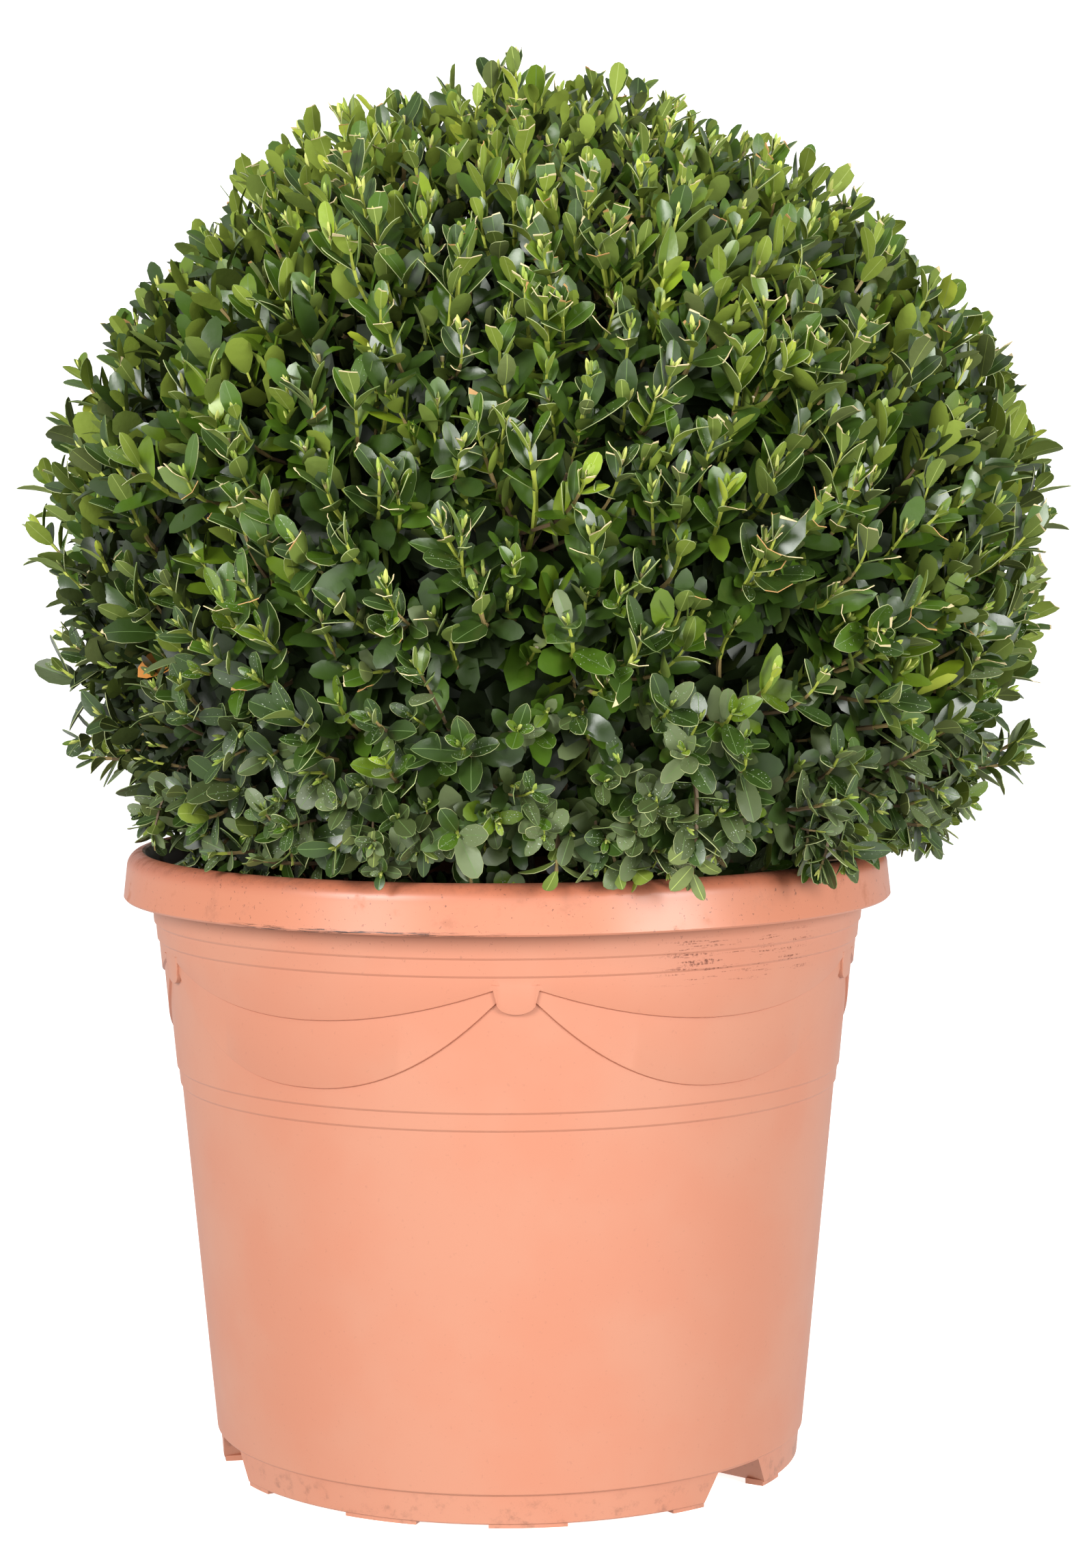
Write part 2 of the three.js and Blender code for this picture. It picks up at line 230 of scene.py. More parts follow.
LIGHT_TARGET = Vector((0, 0, 0.42))
PANELS = {
    "key_panel": {"place": (-1.9, -2.25, 1.35), "size": 1.3, "power": 100},
    "fill_panel": {"place": (2.15, -2.15, 1.0), "size": 1.3, "power": 88},
    "front_panel": {"place": (0.1, -3.3, 0.8), "size": 1.5, "power": 18},
    "top_panel": {"place": (-0.2, -0.3, 2.5), "size": 1.2, "power": 4},
}


def add_panel(name, place, size, power):
    light = bpy.data.lights.new(name, "AREA")
    light.size = size
    light.energy = power
    panel = bpy.data.objects.new(name, light)
    panel.location = place
    towards = LIGHT_TARGET - Vector(place)
    panel.rotation_euler = towards.to_track_quat("-Z", "Y").to_euler()
    scene.collection.objects.link(panel)


for panel_name, panel in PANELS.items():
    add_panel(panel_name, **panel)
print("lights:", ", ".join(PANELS))

# %% [markdown]
# ## Materials
#
# The pot is one salmon plastic with soil rubbed into its rim, so its colour is a small recipe of
# noise patterns. Leaves are different: there are tens of thousands, in some twenty colours, and a
# pattern inside each would be finer than a map can hold. So each green is a plain colour, dealt
# out spray by spray, and the gloss and the fine unevenness of the surface come from noise.

# %% Colours


def paint(code, alpha=1.0):
    """A colour written as in a paint chart (#rrggbb), in the linear numbers that shaders use."""
    parts = [int(code[i : i + 2], 16) / 255 for i in (1, 3, 5)]
    linear = [c / 12.92 if c <= 0.04045 else ((c + 0.055) / 1.055) ** 2.4 for c in parts]
    return (*linear, alpha)


print("the grey #808080 is", round(paint("#808080")[0], 3), "in the shader's numbers")

# %% Recipes for materials


class Recipe:
    """A material's node tree, with short ways to add the nodes that this plant needs."""

    def __init__(self, name):
        self.material = bpy.data.materials.new(name)
        self.material.use_nodes = True
        self.tree = self.material.node_tree
        self.surface = self.tree.nodes["Principled BSDF"]

    def add(self, kind, sockets, **settings):
        made = self.tree.nodes.new(kind)
        for name, value in settings.items():
            setattr(made, name, value)
        for name, value in sockets.items():
            self.put(made.inputs[name], value)
        return made

    def put(self, socket, value):
        if isinstance(value, bpy.types.NodeSocket):
            self.tree.links.new(value, socket)
        else:
            socket.default_value = value

    def shade(self, **sockets):
        for name, value in sockets.items():
            self.put(self.surface.inputs[name.replace("_", " ")], value)

    def place(self, move=(0, 0, 0), scale=(1, 1, 1)):
        """Object coordinates, moved and stretched."""
        found = self.add("ShaderNodeTexCoord", {}).outputs["Object"]
        mapping = self.add(
            "ShaderNodeMapping", {"Vector": found, "Location": move, "Scale": scale}
        )
        return mapping.outputs["Vector"]

    def math(self, operation, *values, clamp=False):
        made = self.add("ShaderNodeMath", {}, operation=operation, use_clamp=clamp)
        for socket, value in zip(made.inputs, values):
            self.put(socket, value)
        return made.outputs["Value"]

    def times(self, first, *others):
        for value in others:
            first = self.math("MULTIPLY", first, value)
        return first

    def noise(self, vector, size, detail=2.0, roughness=0.5):
        """Noise whose patches are about this many millimetres across."""
        made = self.add(
            "ShaderNodeTexNoise",
            {
                "Vector": vector,
                "Scale": 1 / (size * MILLIMETRE),
                "Detail": detail,
                "Roughness": roughness,
            },
        )
        return made.outputs["Fac"]

    def between(self, value, low, high):
        """0 below low, 1 above high, and a smooth rise in between."""
        made = self.add(
            "ShaderNodeMapRange",
            {"Value": value, "From Min": low, "From Max": high},
            interpolation_type="SMOOTHSTEP",
        )
        return made.outputs["Result"]

    def patches(self, vector, size, detail, roughness, low, high):
        """Noise parted into 0 and 1, with a soft edge where it rises from low to high."""
        return self.between(self.noise(vector, size, detail, roughness), low, high)

    def ranged(self, value, low, high):
        """Spreads a value from 0 to 1 out from low to high."""
        made = self.add("ShaderNodeMapRange", {"Value": value, "To Min": low, "To Max": high})
        return made.outputs["Result"]

    def mix(self, amount, first, second):
        # This node has sockets for every kind of data. Its colours go in at 6 and 7, and out at 2.
        made = self.add("ShaderNodeMix", {}, data_type="RGBA")
        for socket, value in ((0, amount), (6, first), (7, second)):
            self.put(made.inputs[socket], value)
        return made.outputs[2]

    def bump(self, height, depth, strength=1.0):
        """A relief this many millimetres deep."""
        made = self.add(
            "ShaderNodeBump", {"Height": height, "Distance": depth * MILLIMETRE, "Strength": strength}
        )
        return made.outputs["Normal"]


# %% Floor
FLOOR_REACH = 6.0
WALL_HEIGHT = 6.0
SWEEP_BEND = 1.5
FLOOR_GREY = 0.93
FLOOR_GLOW = 0.76

floor_recipe = Recipe("pale_floor")
floor_recipe.shade(Base_Color=(FLOOR_GREY, FLOOR_GREY, FLOOR_GREY, 1), Roughness=0.9)
floor_recipe.shade(Emission_Color=(1, 1, 1, 1), Emission_Strength=FLOOR_GLOW)
sweep = bmesh.new()
bmesh.ops.create_grid(sweep, x_segments=1, y_segments=1, size=FLOOR_REACH)
far_edges = [e for e in sweep.edges if all(v.co.y > 0 for v in e.verts)]
raised = bmesh.ops.extrude_edge_only(sweep, edges=far_edges)
bmesh.ops.translate(sweep, vec=(0, 0, WALL_HEIGHT), verts=corners_of(raised))
bmesh.ops.bevel(
    sweep, geom=far_edges, offset=SWEEP_BEND, segments=12, profile=0.5, affect="EDGES", material=-1
)
floor = bare_object(sweep, "floor")
floor.data.materials.append(floor_recipe.material)
floor.data.shade_smooth()
# The floor is far brighter than the studio behind the camera, so it doesn't light the plant.
floor.visible_diffuse = False
floor.visible_glossy = False
print("floor faces:", len(floor.data.polygons))

# %% [markdown]
# ## The pot
#
# The real pot is injection moulded in one shot. Its wall is a cone that steps out at four band
# lines, and five half-round bosses carry swags that hang in two steps of relief. The rim is rolled
# over into a hook, with a skirt that stands clear of the wall. The foot is three arcs with a drain
# channel between each pair, on low pads.
#
# It could be carved from a solid with many small cuts, but the swags would then need curved
# cutters. Here a profile is spun round the axis instead, and the rows of points that belong to a
# swag are slid up and down to follow its curve. Only the hollow, the drain channels and the drain
# holes are cut.

# %% Sizes of the pot
RIM_HEIGHT = pot_high.z
SKIRT_RADIUS = (pot_high.x - pot_low.x) / 2
WALL_THICKNESS = 3
PAD_HEIGHT = 2
FOOT_RADIUS = 159.3
FOOT_RING_RADIUS = 160.5
WALL_FOOT_RADIUS = 162.2
WALL_FOOT_HEIGHT = 18
WALL_TAPER = 0.0903
BAND_STEP = 0.9
SWAG_RELIEF = 1.3
LOWER_BAND = (209.6, 218.8)
UPPER_BAND = (289.1, 298.3)
SKIRT_HEIGHT = RIM_HEIGHT - 25.6
RIM_BEND = 8.7
RIM_CREST = SKIRT_RADIUS - 10.5
MOUTH_RADIUS = SKIRT_RADIUS - 12.6
FOOT_EDGE = 0.6
SKIRT_EDGE = 0.9
PLAIN_ROWS = (80, 145)

BOSS_COUNT = 5
BOSS_AZIMUTH = math.radians(1.2)
BOSS_HALF_WIDTH = 10
BOSS_SHOULDER = 275.6
UPPER_SWAG = {"end": 282.6, "middle": 263.5, "power": 2.0}
LOWER_SWAG = {"end": BOSS_SHOULDER, "middle": 228.0, "power": 2.3}
COLUMNS = BOSS_COUNT * 48


def wall(height, steps=0, reliefs=0):
    """Radius of the wall's outer face after so many band steps and swag reliefs."""
    cone = WALL_FOOT_RADIUS + WALL_TAPER * (height - WALL_FOOT_HEIGHT)
    return cone + steps * BAND_STEP + reliefs * SWAG_RELIEF


def swag_height(swag, azimuth):
    pitch = math.tau / BOSS_COUNT
    from_boss = (azimuth - BOSS_AZIMUTH) % pitch
    half_boss = BOSS_HALF_WIDTH / wall(BOSS_SHOULDER)
    reach = abs(from_boss - pitch / 2) / (pitch / 2 - half_boss)
    return swag["middle"] + (swag["end"] - swag["middle"]) * min(reach, 1) ** swag["power"]


print("rim radius", round(SKIRT_RADIUS, 1), "wall radius at the foot", WALL_FOOT_RADIUS)

# %% The outer profile, row by row
# A moulded step isn't a knife edge. The band lines are soft slopes. Under each swag runs a fine
# crease, then the slope itself. Each entry is a rise in millimetres and a share of the step.
BAND_SLOPE = ((-0.7, 0.0), (-0.1, 0.55), (0.5, 1.0))
SWAG_SLOPE = ((-0.7, 0.0), (-0.35, -0.12), (0.1, 0.9), (0.4, 1.0))


def turned_row(radius, height):
    return {"radius": radius, "height": height}


def round_bend(centre_radius, centre_height, radius, start, end, steps):
    rows = []
    for step in range(steps + 1):
        angle = math.radians(start + (end - start) * step / steps)
        rows.append(
            turned_row(centre_radius + radius * math.cos(angle), centre_height + radius * math.sin(angle))
        )
    return rows


def band_line(height, steps, reliefs):
    return [
        turned_row(wall(height + rise, steps + share, reliefs), height + rise) for rise, share in BAND_SLOPE
    ]


def swag_line(swag, reliefs):
    return [{"swag": swag, "rise": rise, "reliefs": reliefs + share} for rise, share in SWAG_SLOPE]


gutter_bend = RIM_BEND - WALL_THICKNESS
bend_height = RIM_HEIGHT - RIM_BEND
outer_rows = [
    turned_row(0, PAD_HEIGHT),
    turned_row(FOOT_RADIUS - FOOT_EDGE, PAD_HEIGHT),
    turned_row(FOOT_RADIUS, PAD_HEIGHT + FOOT_EDGE),
    turned_row(FOOT_RING_RADIUS, WALL_FOOT_HEIGHT - 0.5),
    turned_row(WALL_FOOT_RADIUS - 0.5, WALL_FOOT_HEIGHT),
    turned_row(wall(WALL_FOOT_HEIGHT + 0.7), WALL_FOOT_HEIGHT + 0.7),
    *[turned_row(wall(height), height) for height in PLAIN_ROWS],
    *band_line(LOWER_BAND[0], 0, 0),
    *band_line(LOWER_BAND[1], 1, 0),
    *swag_line(LOWER_SWAG, 0),
    *swag_line(UPPER_SWAG, 1),
    *band_line(UPPER_BAND[0], 2, 2),
    *band_line(UPPER_BAND[1], 3, 2),
    turned_row(wall(SKIRT_HEIGHT, 4, 2), SKIRT_HEIGHT),
    *round_bend(RIM_CREST, bend_height, gutter_bend, 90, 0, 5),
    turned_row(SKIRT_RADIUS - WALL_THICKNESS + 0.3, SKIRT_HEIGHT + 0.6),
    turned_row(SKIRT_RADIUS - WALL_THICKNESS + SKIRT_EDGE, SKIRT_HEIGHT),
    turned_row(SKIRT_RADIUS - SKIRT_EDGE, SKIRT_HEIGHT),
    turned_row(SKIRT_RADIUS, SKIRT_HEIGHT + 1.0),
    *round_bend(RIM_CREST, bend_height, RIM_BEND, 0, 90, 9),
    turned_row(0, RIM_HEIGHT),
]
print("rows in the outer profile:", len(outer_rows))

# %% Spin the profile, then slide the swag rows


def round_axis(radius, azimuth, height):
    """A place in the pot's own frame. Azimuth 0 is the front."""
    return Vector((radius * math.sin(azimuth), -radius * math.cos(azimuth), height))


def spun(rows, columns=COLUMNS):
    """Rows of (radius, height) turned round the axis, from a start at the front boss."""
    bm = bmesh.new()
    row_tag = bm.verts.layers.int.new("row")
    previous = None
    for index, row in enumerate(rows):
        height = row.get("height", 0)
        if "swag" in row:
            height = row["swag"]["middle"] + row["rise"]
        vert = bm.verts.new((0, -row.get("radius", wall(height)), height))
        vert[row_tag] = index
        if previous:
            bm.edges.new((previous, vert))
        previous = vert
    bmesh.ops.rotate(bm, verts=bm.verts, cent=(0, 0, 0), matrix=Matrix.Rotation(BOSS_AZIMUTH, 3, "Z"))
    bmesh.ops.spin(
        bm,
        geom=bm.verts[:] + bm.edges[:],
        cent=(0, 0, 0),
        axis=UP,
        angle=math.tau,
        steps=columns,
        use_merge=True,
    )
    return bm, row_tag


body_mesh, row_tag = spun(outer_rows)
for vert in body_mesh.verts:
    row = outer_rows[vert[row_tag]]
    if "swag" in row:
        azimuth = math.atan2(vert.co.x, -vert.co.y)
        height = swag_height(row["swag"], azimuth) + row["rise"]
        vert.co = round_axis(wall(height, 2, row["reliefs"]), azimuth, height)
weld(body_mesh)
pot = bare_object(body_mesh, "moulded_pot")
print("outer body:", len(pot.data.polygons), "faces")

# %% [markdown]
# A boss is a tab with a half-round lower end. It is drawn flat, as a disc whose upper half is
# stretched into shoulders, and its front edge is rounded with a bevel. It is then parted into
# strips and bent onto the wall, so that its face follows the cone.

# %% Bosses
BOSS_TOP = 285
BOSS_TOP_FLARE = 1.25
BOSS_DROP = 5.9
BOSS_DEPTH = 5
BOSS_EDGE = 1.4
BOSS_ROUNDING = 0.45
BOSS_STRIP = 2
# The face stands a hair proud of the swag, so that the two never lie in one surface.
BOSS_PROUD = 0.04


def boss_tab():
    """A flat tab in the XZ plane, with its face at y = 0 and its back at y = BOSS_DEPTH."""
    bm = bmesh.new()
    bmesh.ops.create_circle(bm, cap_ends=True, segments=32, radius=1)
    bmesh.ops.rotate(bm, verts=bm.verts, matrix=Matrix.Rotation(math.pi / 2, 3, "X"))
    for vert in bm.verts:
        across, up = vert.co.x, vert.co.z
        vert.co.z = BOSS_DROP * up
        vert.co.x = BOSS_HALF_WIDTH * across
        if up > 0.01:
            side = math.copysign(1, across) if abs(across) > 0.01 else 0
            corner = abs(across) > 0.5
            vert.co.z = (BOSS_TOP - BOSS_SHOULDER) * (min(1, up * 1.5) if corner else 1)
            flare = 1 + (BOSS_TOP_FLARE - 1) * vert.co.z / (BOSS_TOP - BOSS_SHOULDER)
            vert.co.x = BOSS_HALF_WIDTH * flare * (side if corner else across * 1.6)
    bmesh.ops.inset_region(bm, faces=bm.faces[:], thickness=BOSS_EDGE, use_even_offset=True)
    back = bmesh.ops.extrude_face_region(bm, geom=bm.faces[:])
    bmesh.ops.translate(bm, vec=(0, BOSS_DEPTH, 0), verts=corners_of(back))
    front = [f for f in bm.faces if all(abs(v.co.y) < 0.001 for v in f.verts)]
    rim = [e for f in front for e in f.edges if not all(other in front for other in e.link_faces)]
    bmesh.ops.bevel(
        bm, geom=rim, offset=BOSS_ROUNDING, segments=3, profile=0.5, affect="EDGES", material=-1
    )
    for across in range(-BOSS_HALF_WIDTH, BOSS_HALF_WIDTH + 1, BOSS_STRIP):
        slice_through(bm, (across, 0, 0), (1, 0, 0))
    return bm


def bend_onto_wall(bm, azimuth):
    for vert in bm.verts:
        height = BOSS_SHOULDER + vert.co.z
        radius = wall(height, 2, 2) + BOSS_PROUD - vert.co.y
        vert.co = round_axis(radius, azimuth + vert.co.x / wall(BOSS_SHOULDER, 2, 2), height)


for number in range(BOSS_COUNT):
    tab = boss_tab()
    bend_onto_wall(tab, BOSS_AZIMUTH + number * math.tau / BOSS_COUNT)
    combine(pot, bare_object(tab, "boss"), "UNION")
print("with bosses:", len(pot.data.polygons), "faces")

# %% Foot: three drain channels, then the pads
FOOT_COUNT = 3
FOOT_AZIMUTH = math.radians(-11)
CHANNEL_LOW = 27.5
CHANNEL_HIGH = 17.5
CHANNEL_HEIGHT = 17
CHANNEL_INNER = 104
CHANNEL_OUTER = 190
PAD_CENTRES = (-47, -14.3, 14.3, 47)
PAD_HALF_ANGLES = (3.7, 7.4, 7.4, 3.7)
PAD_RADII = (148, 158.5)
PAD_TOP = 3
PAD_STEPS = 5
DRAIN_RADIUS = 6
DRAIN_CENTRE = 120
DRILL_LENGTH = 40


def channel_azimuth(number):
    return FOOT_AZIMUTH + (number + 0.5) * math.tau / FOOT_COUNT


def channel_block(number, margin):
    """A block with sloping sides that runs out along the radius. The margin makes it larger."""
    bm = bmesh.new()
    bmesh.ops.create_cube(bm, size=2)
    slope = (CHANNEL_LOW - CHANNEL_HIGH) / CHANNEL_HEIGHT
    for vert in bm.verts:
        top = CHANNEL_HEIGHT + margin
        height = top if vert.co.z > 0 else -top
        half_width = CHANNEL_HIGH + margin + slope * (CHANNEL_HEIGHT - height)
        reach = CHANNEL_OUTER if vert.co.y < 0 else CHANNEL_INNER - margin
        vert.co = (half_width * vert.co.x, -reach, height)
    turn = Matrix.Rotation(channel_azimuth(number), 3, "Z")
    bmesh.ops.rotate(bm, verts=bm.verts, matrix=turn)
    return bare_object(bm, "channel")


def foot_pad(azimuth, half_angle):
    """A short arc: a small rectangle, spun through the pad's angle."""
    bm = bmesh.new()
    inner, outer = PAD_RADII
    corners = ((inner, 0), (outer, 0), (outer, PAD_TOP), (inner, PAD_TOP))
    section = bm.faces.new([bm.verts.new((0, -radius, height)) for radius, height in corners])
    turn = Matrix.Rotation(azimuth - half_angle, 3, "Z")
    bmesh.ops.rotate(bm, verts=bm.verts, matrix=turn)
    bmesh.ops.spin(
        bm,
        geom=[section, *section.edges, *section.verts],
        cent=(0, 0, 0),
        axis=UP,
        angle=2 * half_angle,
        steps=PAD_STEPS,
    )
    return bare_object(bm, "pad")


for number in range(FOOT_COUNT):
    combine(pot, channel_block(number, 0), "DIFFERENCE")
for foot in range(FOOT_COUNT):
    for centre, half_angle in zip(PAD_CENTRES, PAD_HALF_ANGLES):
        azimuth = FOOT_AZIMUTH + foot * math.tau / FOOT_COUNT + math.radians(centre)
        combine(pot, foot_pad(azimuth, math.radians(half_angle)), "UNION")
print("with its foot:", len(pot.data.polygons), "faces")

# %% Hollow it out, and open the drain holes
CUTTER_OVERSHOOT = 5
neck = wall(SKIRT_HEIGHT, 4, 2) - WALL_THICKNESS
inner_rows = [
    turned_row(0, PAD_HEIGHT + WALL_THICKNESS),
    turned_row(FOOT_RADIUS - WALL_THICKNESS, PAD_HEIGHT + WALL_THICKNESS),
    turned_row(FOOT_RING_RADIUS - WALL_THICKNESS, WALL_FOOT_HEIGHT + WALL_THICKNESS),
    turned_row(wall(LOWER_BAND[0]) - WALL_THICKNESS, LOWER_BAND[0]),
    turned_row(wall(UPPER_BAND[0], 3) - WALL_THICKNESS, UPPER_BAND[0]),
    turned_row(neck, SKIRT_HEIGHT),
    turned_row(MOUTH_RADIUS - 1.6, RIM_HEIGHT - 6),
    turned_row(MOUTH_RADIUS, RIM_HEIGHT - 2.6),
    turned_row(MOUTH_RADIUS + 0.9, RIM_HEIGHT - 0.8),
    turned_row(RIM_CREST + 0.3, RIM_HEIGHT + 0.001),
    turned_row(RIM_CREST + 0.3, RIM_HEIGHT + CUTTER_OVERSHOOT),
    turned_row(0, RIM_HEIGHT + CUTTER_OVERSHOOT),
]
cavity_mesh, _ = spun(inner_rows)
weld(cavity_mesh)
cavity = bare_object(cavity_mesh, "cavity")
for number in range(FOOT_COUNT):
    combine(cavity, channel_block(number, WALL_THICKNESS), "DIFFERENCE")
combine(pot, cavity, "DIFFERENCE")

for number in range(FOOT_COUNT):
    drill = bmesh.new()
    bmesh.ops.create_cone(
        drill, cap_ends=True, segments=24, radius1=DRAIN_RADIUS, radius2=DRAIN_RADIUS, depth=DRILL_LENGTH
    )
    spot = round_axis(DRAIN_CENTRE, channel_azimuth(number), CHANNEL_HEIGHT)
    bmesh.ops.translate(drill, vec=spot, verts=drill.verts)
    combine(pot, bare_object(drill, "drill"), "DIFFERENCE")
print("hollow pot:", len(pot.data.polygons), "faces")

# %% Note where shade is painted, in the creases under the swags
CREASE_SHADE_REACH = 0.5


def crease_shade_at(place):
    """1 for a corner in the crease under a swag, where shade is painted, and 0 elsewhere."""
    azimuth = math.atan2(place.x, -place.y)
    if math.hypot(place.x, place.y) < wall(place.z) - 1:
        return 0.0
    rises = [place.z - swag_height(swag, azimuth) for swag in (LOWER_SWAG, UPPER_SWAG)]
    return float(any(-CREASE_SHADE_REACH < rise < CREASE_SHADE_REACH / 2 for rise in rises))


crease_shade_marks = pot.data.attributes.new("crease_shade", "FLOAT", "POINT")
crease_shade_marks.data.foreach_set("value", [crease_shade_at(vert.co) for vert in pot.data.vertices])
print("corners in creases:", sum(1 for value in crease_shade_marks.data if value.value > 0.5))

# %% [markdown]
# ### Salmon plastic
#
# The moulding is a satin salmon colour, a little uneven. From just under the rim upwards it is
# darker and redder, which is painted shade under the rim. Its rolled top is darker and redder all
# round, and handling has rubbed soil into the rim, mostly along its inner edge. A broken dark line
# at the skirt's lower edge is partly marks from where pots were nested and partly painted shadow of
# the gap under the skirt, and a few long scuffs run round the wall under it. The lip inside the
# mouth is painted dark brown, as painted shade. The creases of the relief, which an attribute of the
# mesh marks, are painted darker, as painted shade. Every other mark is a noise pattern that is let
# through only where it belongs, by its height and by how far round the pot it lies.

# %% Where each mark on the plastic lies
# Heights in millimetres from which a mark is nothing to which it is whole.
# Where shade is painted under the rim. It carries on over the rim itself.
SHADE_UNDER_RIM = (303, 316)
RIM = (309, 313)
GLOSSY_RIM = (309, 314)
ROLLED_TOP = (326, 335)
INNER_EDGE = (330, 336)
SPECKED = (285, 330)
# Painted shade on the lip inside the mouth, above this height.
SHADED_INSIDE = (311.6, 312.2)
FOOT_CLEAN = (8, 22)
# Bands from one height to another, and how softly they end.
# Marks where pots were nested, with painted shadow of the gap under the skirt.
NESTED_AND_SHADOW_BAND = (311.1, 313.4, 0.5)
SCUFF_BAND = (284, 303, 4)
# Stretches of the wall: turns in radians over which a mark sets in, and over which it ends.
SCUFF_STRETCH = ((0.36, 0.5), (0.85, 1.0))
NESTED_AND_SHADOW_STRETCH = ((-0.8, -0.6), (-0.2, 0.1))
# Streaks are this much finer up the wall than along it.
STREAK_FINENESS = 22.0

plastic = Recipe("salmon_plastic")
centred = plastic.place(move=tuple(-POT_AXIS * MILLIMETRE))
parted = plastic.add("ShaderNodeSeparateXYZ", {"Vector": centred})
east, north, height_m = (parted.outputs[axis] for axis in "XYZ")
turn_angle = plastic.math("ARCTAN2", east, plastic.times(north, -1.0))
from_axis = plastic.math(
    "SQRT", plastic.math("ADD", plastic.times(east, east), plastic.times(north, north))
)
streaks = {
    "X": plastic.times(turn_angle, SKIRT_RADIUS * MILLIMETRE),
    "Y": plastic.times(height_m, STREAK_FINENESS),
    "Z": 0.0,
}
streak_space = plastic.add("ShaderNodeCombineXYZ", streaks).outputs["Vector"]


def height_share(low, high):
    """0 below one height and 1 above another, both in millimetres."""
    return plastic.between(height_m, low * MILLIMETRE, high * MILLIMETRE)


def height_band(low, high, fade):
    return plastic.math("SUBTRACT", height_share(low - fade, low), height_share(high, high + fade))


def stretch(start, end):
    """1 on one stretch of the wall and 0 elsewhere, with soft ends."""
    return plastic.math("SUBTRACT", plastic.between(turn_angle, *start), plastic.between(turn_angle, *end))


print("marks lie from", FOOT_CLEAN[0], "to", INNER_EDGE[1], "mm up the pot")

# %% Plastic
mottle = plastic.noise(centred, 70, 3, 0.55)
grain = plastic.noise(centred, 0.55, 2)
salmon = plastic.mix(plastic.between(mottle, 0.35, 0.68), paint("#b97e65"), paint("#b9795f"))
# Painted shade: darker and redder from just under the rim, carried on over the rim itself.
salmon = plastic.mix(plastic.times(height_share(*SHADE_UNDER_RIM), 0.8), salmon, paint("#b97457"))

rolled_top = height_share(*ROLLED_TOP)
inner_edge = plastic.times(height_share(*INNER_EDGE), plastic.patches(centred, 14, 7, 0.75, 0.4, 0.7))
whole_rim = plastic.times(height_share(*RIM), plastic.patches(centred, 20, 7, 0.7, 0.55, 0.72))
rim_specks = plastic.times(
    plastic.patches(centred, 2.1, 3, 0.6, 0.65, 0.69),
    plastic.ranged(height_share(*SPECKED), 0.12, 0.8),
)
# Marks where pots were nested, with painted shadow of the gap under the skirt.
nested_and_shadow = plastic.times(
    height_band(*NESTED_AND_SHADOW_BAND),
    stretch(*NESTED_AND_SHADOW_STRETCH),
    plastic.patches(streak_space, 26, 7, 0.8, 0.5, 0.56),
)
scuffs = plastic.times(
    height_band(*SCUFF_BAND),
    stretch(*SCUFF_STRETCH),
    plastic.times(
        plastic.patches(streak_space, 42, 3, 0.6, 0.545, 0.59),
        plastic.patches(centred, 1.6, 4, 0.7, 0.44, 0.6),
    ),
)
outside_mouth = plastic.between(
    from_axis, (MOUTH_RADIUS - 0.8) * MILLIMETRE, (MOUTH_RADIUS + 2.5) * MILLIMETRE
)
# Painted shade: the lip inside the mouth is dark brown.
shaded_inside_wall = plastic.times(plastic.math("SUBTRACT", 1.0, outside_mouth), height_share(*SHADED_INSIDE))
foot_soil = plastic.times(
    plastic.math("SUBTRACT", 1.0, height_share(*FOOT_CLEAN)),
    plastic.patches(centred, 9, 6, 0.7, 0.5, 0.7),
)
# Painted shade in the creases under the swags.
crease_shade = plastic.add("ShaderNodeAttribute", {}, attribute_name="crease_shade").outputs["Fac"]
soiled = salmon
# Stains, dirt and painted shade: painted shade in the creases, on the lip inside the mouth and partly along
# the skirt's lower edge.
for amount, strength, stain in (
    (crease_shade, 0.22, "#a4563c"),
    (rolled_top, 0.6, "#a65c43"),
    (inner_edge, 0.6, "#6f4232"),
    (whole_rim, 0.36, "#8f5c46"),
    (shaded_inside_wall, 0.8, "#3f2a22"),
    (rim_specks, 0.85, "#5a392f"),
    (nested_and_shadow, 1.0, "#3f271e"),
    (scuffs, 0.9, "#643628"),
    (foot_soil, 0.45, "#6d4a3c"),
):
    soiled = plastic.mix(plastic.times(amount, strength), soiled, paint(stain))
dirt = plastic.math("ADD", inner_edge, plastic.math("ADD", whole_rim, scuffs), clamp=True)
gloss = plastic.math(
    "SUBTRACT", plastic.ranged(mottle, 0.38, 0.5), plastic.ranged(height_share(*GLOSSY_RIM), 0, 0.1)
)
gloss = plastic.math("ADD", gloss, plastic.times(dirt, 0.3), clamp=True)
plastic.shade(Base_Color=soiled, Roughness=gloss, Normal=plastic.bump(grain, 0.02, 0.6))
plastic.shade(IOR=1.46)

one_finish(pot, plastic.material)
finish_piece(pot, POT_TO_ROW, sharp_angle=24)
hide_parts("pot")

# %% [markdown]
# ## Compost
#
# The frame's own solid of compost has the right shape and stays. What it lacks is a crumbly top.
# A shallow disc is spun over it, and its top rows are pushed up and down by noise. Loose crumbs
# lie on it.

# %% Compost material and its uneven top
compost = Recipe("crumbly_compost")
crumb_place = compost.place()
crumb_noise = compost.noise(crumb_place, 4, 6, 0.7)
compost_colour = compost.mix(
    compost.between(crumb_noise, 0.35, 0.7), paint("#1d140d"), paint("#4c3a2a")
)
compost.shade(Base_Color=compost_colour, Roughness=0.95, Normal=compost.bump(crumb_noise, 1.2))
one_finish(frame["nodes"]["soil"], compost.material)

